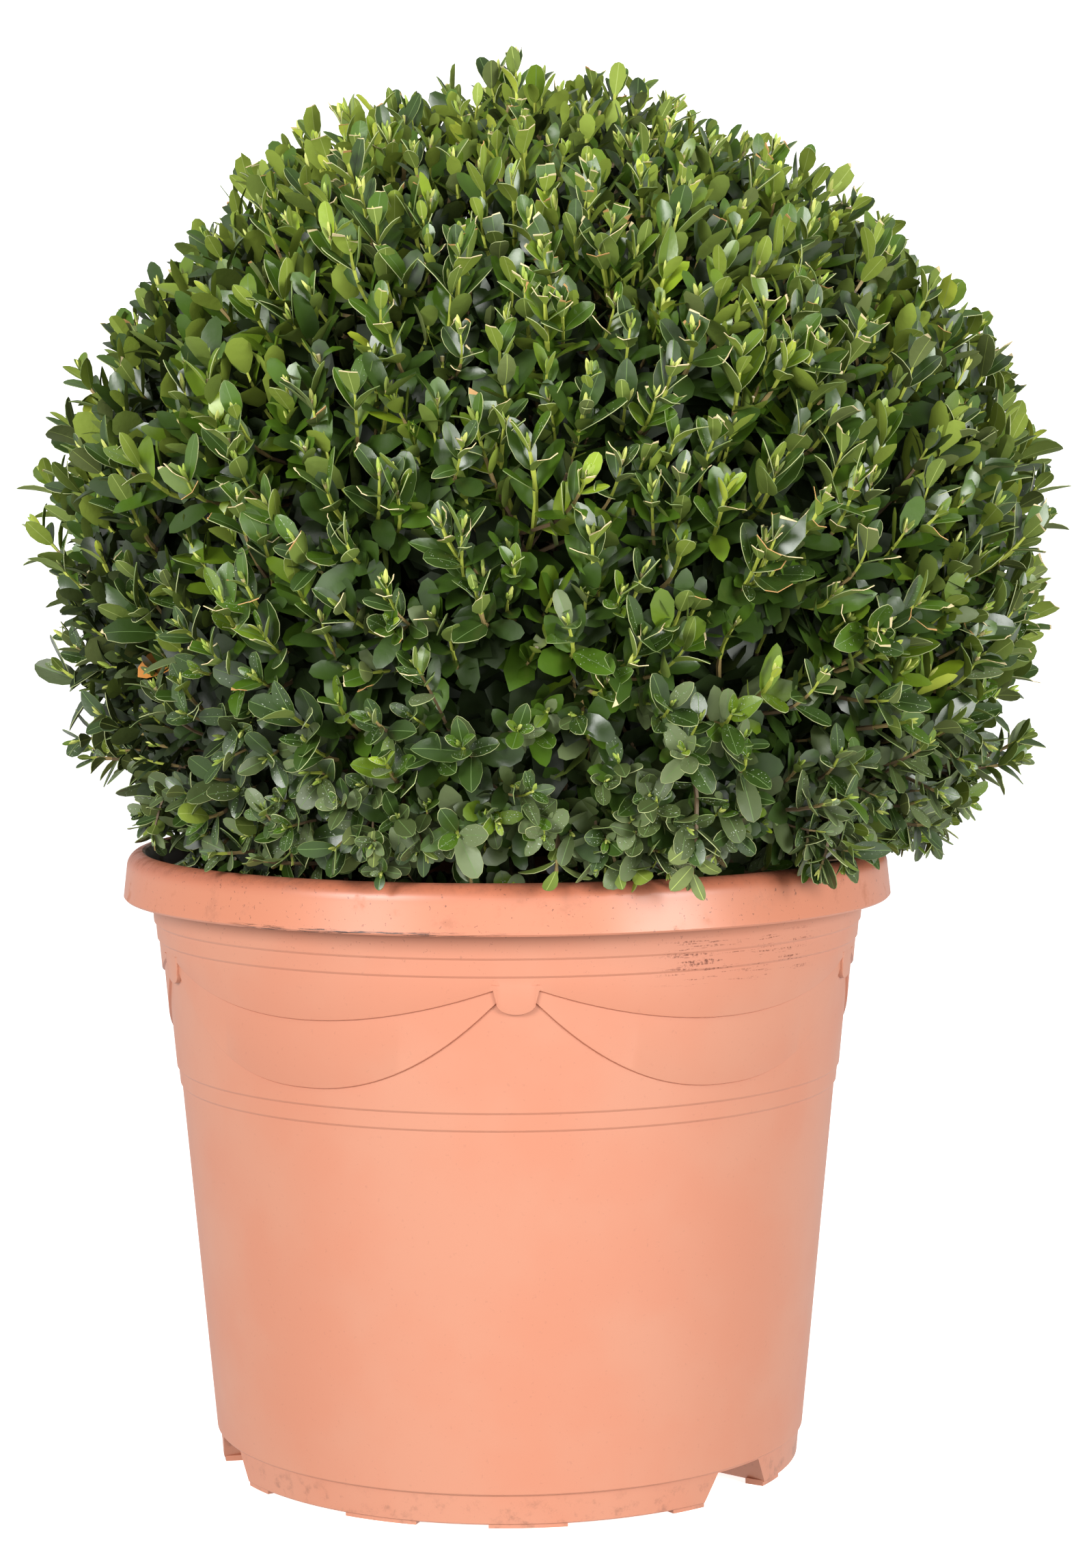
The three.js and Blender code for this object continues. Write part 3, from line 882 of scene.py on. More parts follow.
COMPOST_TOP = soil_high.z
COMPOST_EDGE = COMPOST_TOP - 5
COMPOST_RADIUS = wall(COMPOST_EDGE, 3) - WALL_THICKNESS - 0.5
CRUST_DEPTH = 3
CRUST_COLUMNS = 110
TOP_ROWS = 26
DOME = 4.5
LUMP_HEIGHT = 2.4
crust_floor = COMPOST_EDGE - CRUST_DEPTH
crust_rows = [turned_row(0, crust_floor), turned_row(COMPOST_RADIUS, crust_floor)]
for step in range(TOP_ROWS + 1):
    share = 1 - step / TOP_ROWS
    crust_rows.append(turned_row(COMPOST_RADIUS * share, COMPOST_TOP + 1.5 - DOME * share))
crust_mesh, _ = spun(crust_rows, CRUST_COLUMNS)
for vert in crust_mesh.verts:
    if vert.co.z > COMPOST_EDGE - 2:
        vert.co.z += LUMP_HEIGHT * noise.fractal(vert.co * 0.05, 0.7, 2.2, 5)
weld(crust_mesh)
crust = bare_object(crust_mesh, "compost_top")
one_finish(crust, compost.material)
finish_piece(crust, POT_TO_ROW)

# %% [markdown]
# ## Many copies in one mesh
#
# Leaves, buds, crumbs and shoots repeat one small pattern of faces thousands of times. One bmesh
# makes the pattern. The copies are then arrays: a table of corner places for every copy, and the
# pattern's faces shifted along by one copy at a time.

# %% Joined copies


def read_pattern(bm):
    """Turns one small mesh into arrays: its corners' places, and its faces."""
    bm.verts.index_update()
    corners = np.array([vert.co[:] for vert in bm.verts])
    faces = [tuple(vert.index for vert in face.verts) for face in bm.faces]
    bm.free()
    return corners, faces


def joined_copies(name, copies, faces, materials, dealt=0):
    """copies holds (copy, corner, xyz) in millimetres, and dealt each face's place in materials."""
    count, corners = copies.shape[:2]
    sides = np.array([len(face) for face in faces])
    pattern = np.concatenate([np.array(face) for face in faces])
    starts = np.concatenate([[0], np.cumsum(sides)[:-1]])
    shift = np.arange(count)[:, None]
    mesh = bpy.data.meshes.new(name)
    mesh.vertices.add(count * corners)
    mesh.vertices.foreach_set("co", copies.astype(np.float32).ravel())
    mesh.loops.add(count * len(pattern))
    mesh.loops.foreach_set("vertex_index", (shift * corners + pattern).astype(np.int32).ravel())
    mesh.polygons.add(count * len(faces))
    mesh.polygons.foreach_set("loop_start", (shift * len(pattern) + starts).astype(np.int32).ravel())
    dealt = np.broadcast_to(dealt, (count, len(faces)))
    mesh.polygons.foreach_set("material_index", dealt.astype(np.int32).ravel())
    mesh.update(calc_edges=True)
    for material in materials:
        mesh.materials.append(material)
    obj = bpy.data.objects.new(name, mesh)
    scene.collection.objects.link(obj)
    return obj


def set_in_place(corners, spots, axes, sizes):
    """A pattern's corners at every spot, laid along three axes and stretched by three sizes."""
    places = spots[:, None]
    for number, (axis, size) in enumerate(zip(axes, sizes)):
        reach = corners[None, :, number] * np.reshape(size, (-1, 1))
        places = places + axis[:, None] * reach[..., None]
    return places


def unit(vectors):
    return vectors / np.maximum(np.linalg.norm(vectors, axis=-1, keepdims=True), 1e-9)


def turned_by_chance(dice, count):
    """Random rotation matrices, one for each copy."""
    first = unit(dice.normal(size=(count, 3)))
    second = unit(np.cross(first, dice.normal(size=(count, 3))))
    return np.stack([first, second, np.cross(first, second)], axis=1)


# %% Crumbs on the compost
CRUMB_COUNT = 700
CRUMB_RADII = (1.0, 3.4)
dice = np.random.default_rng(71)
crumb = bmesh.new()
bmesh.ops.create_icosphere(crumb, subdivisions=1, radius=1)
crumb_corners, crumb_faces = read_pattern(crumb)
crumb_sizes = dice.uniform(*CRUMB_RADII, (CRUMB_COUNT, 1, 1))
crumb_sizes = crumb_sizes * dice.uniform(0.6, 1.2, (CRUMB_COUNT, 1, 3))
crumb_knobs = dice.uniform(0.75, 1.15, (CRUMB_COUNT, len(crumb_corners), 1))
crumb_shapes = crumb_corners * crumb_sizes * crumb_knobs
crumb_shapes = np.einsum("cvi,cij->cvj", crumb_shapes, turned_by_chance(dice, CRUMB_COUNT))
crumb_turn = dice.uniform(0, math.tau, CRUMB_COUNT)
crumb_radius = (COMPOST_RADIUS - 6) * np.sqrt(dice.uniform(0.05, 1, CRUMB_COUNT))
crumb_spots = np.stack(
    [
        POT_AXIS.x + crumb_radius * np.sin(crumb_turn),
        POT_AXIS.y - crumb_radius * np.cos(crumb_turn),
        COMPOST_TOP + 2.6 - DOME * crumb_radius / COMPOST_RADIUS,
    ],
    axis=1,
)
crumb_places = crumb_shapes + crumb_spots[:, None]
crumbs = joined_copies("compost_crumbs", crumb_places, crumb_faces, [compost.material])
finish_piece(crumbs, ROW_SCALE, sharp_angle=60)

# %% [markdown]
# ## Stem and boughs
#
# Inside the ball the box has a short leaning stem with root buttresses, which forks into five
# boughs. The frame's solids have that shape but are smooth. A copy of them is fused into one skin
# with a voxel remesh, and the skin is pushed in and out by noise stretched along the wood, which
# gives the corky ridges of old box.

# %% Bark
BARK_VOXEL = 1.5
BARK_RELIEF = 0.75
BARK_SINK = 0.5
# How fine the ridges are across the wood and along it, and the flakes between them.
RIDGE_ACROSS = 0.42
RIDGE_ALONG = 0.11
FLAKE_FINENESS = 0.75
WOOD_NODES = ["stem", *[f"bough_{number}" for number in range(1, 6)]]

wood_mesh = bmesh.new()
for node in WOOD_NODES:
    wood_mesh.from_mesh(frame["nodes"][node].data)
weld(wood_mesh, 1e-5)
bmesh.ops.scale(wood_mesh, vec=(1 / MILLIMETRE,) * 3, verts=wood_mesh.verts)
wood = bare_object(wood_mesh, "bark_of_stem_and_boughs")
remesh = wood.modifiers.new("skin", "REMESH")
remesh.mode = "VOXEL"
remesh.voxel_size = BARK_VOXEL
settle(wood)

ridged = bmesh.new()
ridged.from_mesh(wood.data)
bmesh.ops.smooth_vert(
    ridged, verts=ridged.verts, factor=0.5, use_axis_x=True, use_axis_y=True, use_axis_z=True
)
ridged.normal_update()
for vert in ridged.verts:
    x, y, z = vert.co
    stretched = Vector((x * RIDGE_ACROSS, y * RIDGE_ACROSS, z * RIDGE_ALONG))
    ridge = 1 - 2 * abs(noise.noise(stretched))
    flake = noise.noise(vert.co * FLAKE_FINENESS)
    vert.co += vert.normal * (BARK_RELIEF * (ridge + 0.5 * flake) - BARK_SINK)
ridged.to_mesh(wood.data)
ridged.free()

bark = Recipe("corky_bark")
bark_place = bark.place(scale=(1, 1, 0.28))
bark_noise = bark.noise(bark_place, 2.2, 5, 0.65)
bark_patches = bark.noise(bark.place(), 18, 3)
bark_colour = bark.mix(bark.between(bark_noise, 0.3, 0.7), paint("#4f4030"), paint("#9a8768"))
bark_colour = bark.mix(bark.between(bark_patches, 0.5, 0.75), bark_colour, paint("#a8a184"))
bark.shade(Base_Color=bark_colour, Roughness=0.9, Normal=bark.bump(bark_noise, 0.5))
one_finish(wood, bark.material)
finish_piece(wood, ROW_SCALE, sharp_angle=60)
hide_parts(*WOOD_NODES)

# %% [markdown]
# ## The clipped surface
#
# Everything that grows is measured against the surface that the shears have left. The frame's
# solid of leaves gives it: a ray towards the middle of the crown from any side stops at it. The
# rays are cast once, on a grid of directions, and any later point reads its distance off the grid.

# %% Read the crown's surface
CROWN_WAIST = 0.424
FAR_OUT = 900
GRID_TURNS = 180
GRID_RISES = 91

CROWN_CENTRE = Vector(
    (
        (crown_low.x + crown_high.x) / 2,
        (crown_low.y + crown_high.y) / 2,
        crown_low.z + CROWN_WAIST * (crown_high.z - crown_low.z),
    )
)
crown_solid = frame["nodes"]["foliage_ball"].data
crown_tree = BVHTree.FromPolygons(
    [vert.co / MILLIMETRE for vert in crown_solid.vertices],
    [tuple(face.vertices) for face in crown_solid.polygons],
)


def surface_towards(direction):
    """The point of the clipped surface in a direction from the crown's middle, and its normal."""
    spot, normal, _, _ = crown_tree.ray_cast(CROWN_CENTRE + direction * FAR_OUT, -direction)
    return spot, normal


reach_grid = np.zeros((GRID_TURNS, GRID_RISES))
for i in range(GRID_TURNS):
    for j in range(GRID_RISES):
        turn = math.tau * i / GRID_TURNS
        rise = math.pi * (j / (GRID_RISES - 1) - 0.5)
        flat = math.cos(rise)
        towards = Vector((flat * math.cos(turn), flat * math.sin(turn), math.sin(rise)))
        reach_grid[i, j] = (surface_towards(towards)[0] - CROWN_CENTRE).length
middle = np.array(CROWN_CENTRE)


def depth_below_surface(points):
    """How far each point lies inside the clipped surface, in millimetres."""
    away = points - middle
    distance = np.linalg.norm(away, axis=-1)
    turn = (np.arctan2(away[..., 1], away[..., 0]) % math.tau) / math.tau * GRID_TURNS
    rise = np.arcsin(np.clip(away[..., 2] / np.maximum(distance, 1e-6), -1, 1))
    rise = (rise / math.pi + 0.5) * (GRID_RISES - 1)
    i, j = np.floor(turn).astype(int), np.minimum(np.floor(rise).astype(int), GRID_RISES - 2)
    u, v = turn - i, rise - j
    i, after = i % GRID_TURNS, (i + 1) % GRID_TURNS
    low = reach_grid[i, j] * (1 - u) + reach_grid[after, j] * u
    high = reach_grid[i, j + 1] * (1 - u) + reach_grid[after, j + 1] * u
    return low * (1 - v) + high * v - distance


print("reach of the crown", round(reach_grid.min()), "to", round(reach_grid.max()), "mm")

# %% [markdown]
# ## Branching
#
# Box forks again and again: boughs carry limbs, limbs carry branches, branches carry twigs, and
# each twig carries a handful of leafy shoots. The rule grows it from the outside in, because the
# shears fix where shoots end. Each order has its ends spread evenly at its own share of the way to
# the surface, and every end looks for the nearest wood of the order before it, with a penalty for
# turning back. All random numbers come from seeded dice, so the plant grows the same every time.

# %% Even directions, bent paths and the nearest wood
STEPS_PER_LIMB = 7
TURN_PENALTY = 45


def spread_directions(count, jitter, dice):
    """Directions spread evenly over a ball, each moved a little by chance."""
    index = np.arange(count) + 0.5
    height = 1 - 2 * index / count
    turn = index * GOLDEN_ANGLE
    flat = np.sqrt(1 - height**2)
    even = np.stack([flat * np.cos(turn), flat * np.sin(turn), height], axis=1)
    spacing = math.sqrt(4 * math.pi / count)
    return unit(even + dice.normal(size=even.shape) * jitter * spacing)


def pot_distance(points):
    """Distance of each point from the pot's axis."""
    return np.hypot(points[..., 0] - POT_AXIS.x, points[..., 1] - POT_AXIS.y)


def bent_path(start, control, end, steps):
    """Points along a quadratic curve, for many curves at once."""
    share = np.linspace(0, 1, steps)[None, :, None]
    start, control, end = start[:, None], control[:, None], end[:, None]
    return start * (1 - share) ** 2 + 2 * control * share * (1 - share) + end * share**2


def nearest_wood(goals, paths, headings, latest, dice):
    """Which path each goal grows from, and where on its last steps. Turning back costs."""
    gap = goals[:, None] - paths[None, :, -1]
    turning = 1 - np.sum(unit(gap) * headings, axis=2)
    nearest = np.argmin(np.linalg.norm(gap, axis=2) + TURN_PENALTY * turning, axis=1)
    leave = dice.integers(STEPS_PER_LIMB - latest, STEPS_PER_LIMB, len(goals))
    return nearest, paths[nearest, leave]


print("1,000 directions lie about", round(math.degrees(math.sqrt(4 * math.pi / 1000)), 1), "degrees apart")

# %% Limbs, branches and twigs
ORDERS = [
    {"name": "limbs", "count": 22, "share": 0.42, "radius": 3.6, "sides": 8},
    {"name": "branches", "count": 100, "share": 0.60, "radius": 2.3, "sides": 6},
    {"name": "twigs", "count": 440, "share": 0.76, "radius": 1.5, "sides": 5},
]
FORK_LEAN = 8
BOUGH_TIP = 6
TIP_INSET = 5
BOUGH_RADIUS = 5.2
# Limbs leave a bough past this share of its length, and follow it for a share of their own.
LEAVING = 0.8
FOLLOWING = 0.4
WANDERING = 3

dice = np.random.default_rng(5)
fork = np.array(
    ((stem_low.x + stem_high.x) / 2 + FORK_LEAN, (stem_low.y + stem_high.y) / 2, stem_high.z)
)


def bough_end(node):
    """The far end of a bough, a little inside its wood."""
    corners = np.array([vert.co / MILLIMETRE for vert in frame["nodes"][node].data.vertices])
    distance = np.linalg.norm(corners - fork, axis=1)
    tip = corners[distance > distance.max() - BOUGH_TIP].mean(axis=0)
    return tip - unit(tip - fork) * TIP_INSET


ends = np.array([bough_end(node) for node in WOOD_NODES[1:]])
parent_paths = np.stack(
    [np.linspace(fork + (end - fork) * LEAVING, end, STEPS_PER_LIMB) for end in ends]
)
parent_radius = BOUGH_RADIUS
wood_orders = []
for order in ORDERS:
    directions = spread_directions(order["count"], 0.3, dice)
    reach = np.array([(surface_towards(Vector(d))[0] - CROWN_CENTRE).length for d in directions])
    share = order["share"] * dice.uniform(0.9, 1.1, (order["count"], 1))
    goals = middle + directions * reach[:, None] * share
    parent_heading = unit(parent_paths[:, -1] - parent_paths[:, -2])
    nearest, starts = nearest_wood(goals, parent_paths, parent_heading[None], 3, dice)
    length = np.linalg.norm(goals - starts, axis=1, keepdims=True)
    controls = starts + parent_heading[nearest] * length * FOLLOWING
    controls = controls + dice.normal(size=goals.shape) * WANDERING
    paths = bent_path(starts, controls, goals, STEPS_PER_LIMB)
    thick = min(parent_radius * 0.8, order["radius"] * 1.3)
    taper = np.linspace(thick, order["radius"] * 0.8, STEPS_PER_LIMB)
    wood_orders.append({**order, "paths": paths, "radii": np.broadcast_to(taper, paths.shape[:2])})
    parent_paths, parent_radius = paths, order["radius"]
    print(order["name"], order["count"], "mean length", round(float(length.mean())), "mm")

# %% [markdown]
# A shoot is this or last year's growth: a thin straight stem, more upright than the surface it
# comes out of, with a pair of leaves every centimetre or so, each pair turned a right angle from
# the next. At the foot of the ball the light comes from the side only, so shoots there lie
# outwards and end in flat rosettes of small leaves. A few shoots have outgrown the shears.

# %% Where shoots reach the surface
SHOOT_COUNT = 2450
SKIRT_SHOOTS = 190
SKIRT_BAND = (330, 392)
# The surface inside the pot's mouth carries no shoots. It lies below the first height, or below
# the second and nearer to the pot's axis than the radius.
MOUTH_HEIGHT = 326
MOUTH_EDGE = 350
MOUTH_INNER = 150
# Shoots that the shears missed: how far round, how high, and how far out they reach.
STRAYS = [
    *((-97, 572, -3), (-92, 540, -1), (-86, 512, -2), (-91, 606, -4), (-94, 450, -3), (-88, 432, -2)),
    *((88, 560, 0), (84, 536, -1), (93, 515, -2), (96, 548, -1), (90, 602, -4), (92, 446, -3)),
    *((84, 388, 8), (78, 376, 9), (91, 380, 10), (-90, 388, 8), (-97, 380, 8), (-84, 374, 6)),
]

dice = np.random.default_rng(23)
directions = spread_directions(SHOOT_COUNT, 0.34, dice)
skirt_turn = np.arange(SKIRT_SHOOTS) * GOLDEN_ANGLE + dice.normal(size=SKIRT_SHOOTS) * 0.1
skirt_drop = (dice.uniform(*SKIRT_BAND, SKIRT_SHOOTS) - CROWN_CENTRE.z) / SKIRT_RADIUS
skirt_directions = unit(np.stack([np.sin(skirt_turn), -np.cos(skirt_turn), skirt_drop], axis=1))
stray_turn = np.radians([stray[0] for stray in STRAYS])
stray_height = np.array([stray[1] for stray in STRAYS]) - CROWN_CENTRE.z
stray_flat = (crown_high.x - crown_low.x) / 2
stray_directions = unit(
    np.stack([stray_flat * np.sin(stray_turn), -stray_flat * np.cos(stray_turn), stray_height], axis=1)
)
directions = np.concatenate([directions, skirt_directions, stray_directions])
hits = [surface_towards(Vector(direction)) for direction in directions]
surface = np.array([spot[:] for spot, _ in hits])
normals = np.array([normal[:] for _, normal in hits])
is_stray = np.arange(len(directions)) >= SHOOT_COUNT + SKIRT_SHOOTS

in_mouth = (surface[:, 2] < MOUTH_EDGE) & (pot_distance(surface) < MOUTH_INNER)
in_mouth |= surface[:, 2] < MOUTH_HEIGHT
kept = ~in_mouth | is_stray
surface, normals, is_stray = surface[kept], normals[kept], is_stray[kept]
count = len(surface)
print("shoots", count, "of them strays", int(is_stray.sum()))

# %% How deep their tips lie, and which way they point
LOW_ZONE = 395
LOW_FADE = 75
TOP_ZONE = 610
TOP_FADE = 120
TUFT_SIZE = 62
TUFT_RELIEF = 14
SHOOT_STEPS = 24
# Most tips lie about so deep. Shoots of other habits, from one share of them to another, lie
# anywhere between two depths.
TIP_DEPTH = (14, 4.8)
HABITS = (((0, 0.33), (22, 46)), ((0, 0.12), (50, 96)), ((0.92, 1), (0, 7)))
# Sides where the shears have gone deeper: the side's direction, and by how much.
DEEPER_SIDES = (((-1, 0, 0.25), 13), ((0.45, 0, 0.9), 6), ((1, 0, 0.1), 6))
# Shoots turn up towards the light: how far the surface faces up, and how strongly they turn.
FACING_UP = [-1, -0.5, -0.1, 0.45, 1]
UPLIFT = [0.1, 0.4, 1.5, 1.6, 0.5]
HEADING_SPREAD = 0.24
ELBOW = 0.55

lowness = np.clip((LOW_ZONE + LOW_FADE - surface[:, 2]) / (2 * LOW_FADE), 0, 1)
topness = np.clip((surface[:, 2] - TOP_ZONE) / TOP_FADE, 0, 1)
habit = dice.uniform(0, 1, count)
tip_depth = dice.normal(*TIP_DEPTH, count)
for (least, most), depths in HABITS:
    tip_depth = np.where((habit > least) & (habit < most), dice.uniform(*depths, count), tip_depth)
tufts = np.array([noise.noise(Vector(spot) / TUFT_SIZE) for spot in surface])
tip_depth = np.maximum(tip_depth - 3 * lowness + TUFT_RELIEF * tufts, 0)
for side, more in DEEPER_SIDES:
    facing = normals @ unit(np.array(side))
    tip_depth = tip_depth + more * np.clip((facing - 0.55) / 0.35, 0, 1)
tip_depth[is_stray] = -np.array([stray[2] for stray in STRAYS])
uplift = np.interp(normals[:, 2], FACING_UP, UPLIFT)
heading = normals + uplift[:, None] * np.array(UP)
heading = unit(heading + dice.normal(size=(count, 3)) * HEADING_SPREAD)
tips = surface - normals * tip_depth[:, None]

_, feet = nearest_wood(tips, wood_orders[-1]["paths"], heading[:, None], 4, dice)
shoot_length = np.linalg.norm(tips - feet, axis=1, keepdims=True)
elbows = tips - heading * shoot_length * ELBOW
shoot_paths = bent_path(feet, elbows, tips, SHOOT_STEPS)
print("shoots are", round(float(shoot_length.mean())), "mm long on average")

# %% [markdown]
# ### Leaf pairs along a shoot
#
# Going down from the tip, the gaps between pairs grow from a few millimetres to a full internode.
# On a shoot that still grows, the youngest pair is small and stands almost closed round the tip.
# A clipped shoot has lost those pairs, and ends in full-sized leaves.

# %% Leaf stations on every shoot
PAIRS = 9
LEAFY_LENGTH = 84
BARE_FOOT = 6
CLIPPED_SHARE = 0.88
LESS_CLIPPED_BELOW = 0.62
CLOSER_BELOW = 0.42
VIGOUR = (1.0, 0.15)
GROWING = {
    "gaps": [1.5, 4.0, 6.5, 8.5, 10.0, 10.5, 11.0, 11.5, 12.0],
    "openings": [14, 24, 34, 42, 48, 52, 55, 57, 60],
    "sizes": [0.48, 0.74, 0.93, 1.0, 1.02, 1.0, 0.98, 0.95, 0.9],
}
CLIPPED = {
    "gaps": [3.5, 8.5, 10.0, 10.5, 11.0, 11.5, 11.5, 12.0, 12.0],
    "openings": [24, 31, 38, 44, 49, 53, 56, 58, 60],
    "sizes": [0.86, 0.97, 1.02, 1.04, 1.0, 1.0, 0.97, 0.94, 0.9],
}

dice = np.random.default_rng(37)
vigour = dice.normal(*VIGOUR, count)
is_clipped = dice.uniform(size=count) < CLIPPED_SHARE - LESS_CLIPPED_BELOW * lowness
is_clipped &= ~is_stray
gaps, openings, sizes = (
    np.where(is_clipped[:, None], CLIPPED[key], GROWING[key]) for key in ("gaps", "openings", "sizes")
)
spacing = gaps * (vigour * (1 - CLOSER_BELOW * lowness))[:, None]
from_tip = np.cumsum(spacing, axis=1)
steps = np.linalg.norm(np.diff(shoot_paths, axis=1), axis=2)
run = np.concatenate([np.zeros((count, 1)), np.cumsum(steps, axis=1)], axis=1)
station = run[:, -1:] - from_tip
leafy = (station > BARE_FOOT) & (from_tip < LEAFY_LENGTH)


def along_paths(paths, run, wanted):
    """Points at given distances along many paths, and the direction of growth there."""
    points = np.empty((*wanted.shape, 3))
    growth = np.empty_like(points)
    for i, path in enumerate(paths):
        for axis in range(3):
            points[i, :, axis] = np.interp(wanted[i], run[i], path[:, axis])
            growth[i, :, axis] = np.interp(wanted[i] + 3, run[i], path[:, axis])
            growth[i, :, axis] -= np.interp(wanted[i] - 3, run[i], path[:, axis])
    return points, unit(growth)


nodes, growth = along_paths(shoot_paths, run, np.maximum(station, 0))
print("leaf pairs", int(leafy.sum()))

# %% Axis and upper side of every leaf
# How far chance turns a pair round its shoot, opens a leaf, and bends its axis.
PAIR_TWIST = 0.16
OPENING_SPREAD = 0.16
AXIS_SPREAD = 0.07
CLOSED_ON_TOP = 0.15
OPENED_BELOW = math.radians(19)
# How strongly the upper side turns to the light, everywhere and more of it at the foot.
LIGHT_PULL = 0.08
MORE_PULL_BELOW = 0.44
PULL_RANGE = (0.3, 1.4)

first_side = unit(np.cross(growth, dice.normal(size=(count, 1, 3))))
second_side = np.cross(growth, first_side)
pair_turn = dice.uniform(0, math.tau, (count, 1)) + np.arange(PAIRS) * math.pi / 2
pair_turn = pair_turn + dice.normal(size=pair_turn.shape) * PAIR_TWIST
outward = first_side * np.cos(pair_turn)[..., None] + second_side * np.sin(pair_turn)[..., None]

leaf_shape = (count, PAIRS, 2)
outward = np.stack([outward, -outward], axis=2)
along = np.broadcast_to(growth[:, :, None], outward.shape)
# The same shares again, shaped so that they work on every leaf at once.
low_leaf, top_leaf = lowness[:, None, None], topness[:, None, None]
opening = np.radians(openings)[:, :, None] * dice.normal(1.0, OPENING_SPREAD, leaf_shape)
opening = opening * (1 - CLOSED_ON_TOP * top_leaf) + low_leaf * OPENED_BELOW
cosine, sine = np.cos(opening)[..., None], np.sin(opening)[..., None]
blade_axis = along * cosine + outward * sine + dice.normal(size=outward.shape) * AXIS_SPREAD
blade_axis = unit(blade_axis)
upper = unit(along * sine - outward * cosine)
light_side = unit(normals * 0.8 + np.array(UP))[:, None, None]
light_pull = (LIGHT_PULL + MORE_PULL_BELOW * low_leaf) * dice.uniform(*PULL_RANGE, leaf_shape)
light_pull = light_pull[..., None]
upper = upper * (1 - light_pull) + light_side * light_pull
upper = unit(upper - blade_axis * np.sum(upper * blade_axis, axis=-1, keepdims=True))
print("leaves open by", round(math.degrees(opening.mean())), "degrees on average")

# %% Size of every leaf
LEAF_LENGTH = 23.0
SHORTER_ON_TOP = 5.0
SHORTER_BELOW = 6.0
LENGTH_SPREAD = 0.12
# Half a leaf's width, as a share of its length.
STOUTNESS = 0.243
STOUTER_BELOW = 0.022
STOUTNESS_SPREAD = 0.026
LEAST_STOUTNESS = 0.17
YOUNG_SIZE = 0.6
SLIMMER_YOUNG = 0.05
# Shares of the leaves that have fallen, everywhere and more of them at the foot.
FALLEN = 0.05
MORE_FALLEN_BELOW = 0.1

zone_length = LEAF_LENGTH - SHORTER_ON_TOP * top_leaf - SHORTER_BELOW * low_leaf
leaf_length = zone_length * sizes[:, :, None] * vigour[:, None, None]
leaf_length = leaf_length * dice.normal(1.0, LENGTH_SPREAD, leaf_shape)
stoutness = STOUTNESS + STOUTER_BELOW * low_leaf + dice.normal(size=leaf_shape) * STOUTNESS_SPREAD
stoutness = stoutness - SLIMMER_YOUNG * (sizes < YOUNG_SIZE)[:, :, None]
leaf_half_width = leaf_length * np.maximum(stoutness, LEAST_STOUTNESS)

leaf_base = np.broadcast_to(nodes[:, :, None], outward.shape)
leaf_tip = leaf_base + blade_axis * leaf_length[..., None]
leaf_middle = (leaf_base + leaf_tip) / 2
grown = np.broadcast_to(leafy[:, :, None], leaf_shape).copy()
grown &= dice.uniform(size=leaf_shape) > FALLEN + MORE_FALLEN_BELOW * low_leaf
print("leaves are", round(float(leaf_length[grown].mean()), 1), "mm long on average")

# %% [markdown]
# Leaves can't grow through the pot. Any leaf that would touch the rim, or dip below the compost,
# is left out.

# %% Keep leaves off the pot
LOWEST_OVERHANG = 8
RIM_INSIDE = 3
POT_MARGIN = 1.0


def touches_pot(points, margin):
    radius, height = pot_distance(points), points[..., 2]
    at_rim = (radius > MOUTH_RADIUS - margin - RIM_INSIDE) & (radius < SKIRT_RADIUS + margin)
    at_rim &= height < RIM_HEIGHT + margin
    in_compost = height < COMPOST_TOP + margin
    hanging = (radius >= SKIRT_RADIUS) & (height < RIM_HEIGHT - LOWEST_OVERHANG)
    return at_rim | in_compost | hanging


leaf_across = np.cross(blade_axis, upper) * leaf_half_width[..., None]
for probe in (leaf_base, leaf_middle, leaf_middle + leaf_across, leaf_middle - leaf_across, leaf_tip):
    grown &= ~touches_pot(probe, POT_MARGIN)
print("leaves on the plant", int(grown.sum()))

# %% [markdown]
# ### Clipping
#
# Shears cut whatever stands past the ball's surface. Where a leaf on the upper part crosses it,
# the leaf is ended there with a straight edge that has dried to tan. Lower down the shoots lie
# outwards in their own way, and the shears leave them alone.

# %% Which leaves the shears have cut
CUT_ABOVE = 430
SHORTEST_CUT = 0.34
UNCUT_FROM = 0.97
# Cut leaves a little inside the surface: how deep, what share, and more of the topmost pairs.
STRAY_CUT_DEPTH = 30
STRAY_CUTS = 0.05
MORE_CUTS_ON_TOP = 0.28
TOPMOST_PAIRS = 3
CUT_SHARES = (0.45, 0.85)
# How far past the surface the shears have passed each shoot: a mean and a spread.
SHEARS_MARGIN = (1.0, 1.6)

shears_margin = dice.normal(*SHEARS_MARGIN, (count, 1, 1))
base_depth = depth_below_surface(leaf_base)
tip_level = depth_below_surface(leaf_tip)
crossing = (base_depth + shears_margin) / np.maximum(base_depth - tip_level, 0.1)
cut_share = np.clip(crossing, SHORTEST_CUT, 1.0)
is_cut = (tip_level < -shears_margin) & (cut_share < UNCUT_FROM) & grown
is_cut &= (leaf_base[..., 2] > CUT_ABOVE) & ~is_stray[:, None, None]
is_topmost = (np.arange(PAIRS) < TOPMOST_PAIRS)[None, :, None]
cut_chance = STRAY_CUTS + MORE_CUTS_ON_TOP * top_leaf * is_topmost
stray_cut = (dice.uniform(size=leaf_shape) < cut_chance) & is_clipped[:, None, None]
stray_cut &= (leaf_base[..., 2] > CUT_ABOVE) & (base_depth < STRAY_CUT_DEPTH) & grown & ~is_cut
cut_share = np.where(stray_cut, dice.uniform(*CUT_SHARES, leaf_shape), cut_share)
is_cut |= stray_cut
leaf_depth = depth_below_surface(leaf_middle)
print("cut leaves", int(is_cut.sum()))

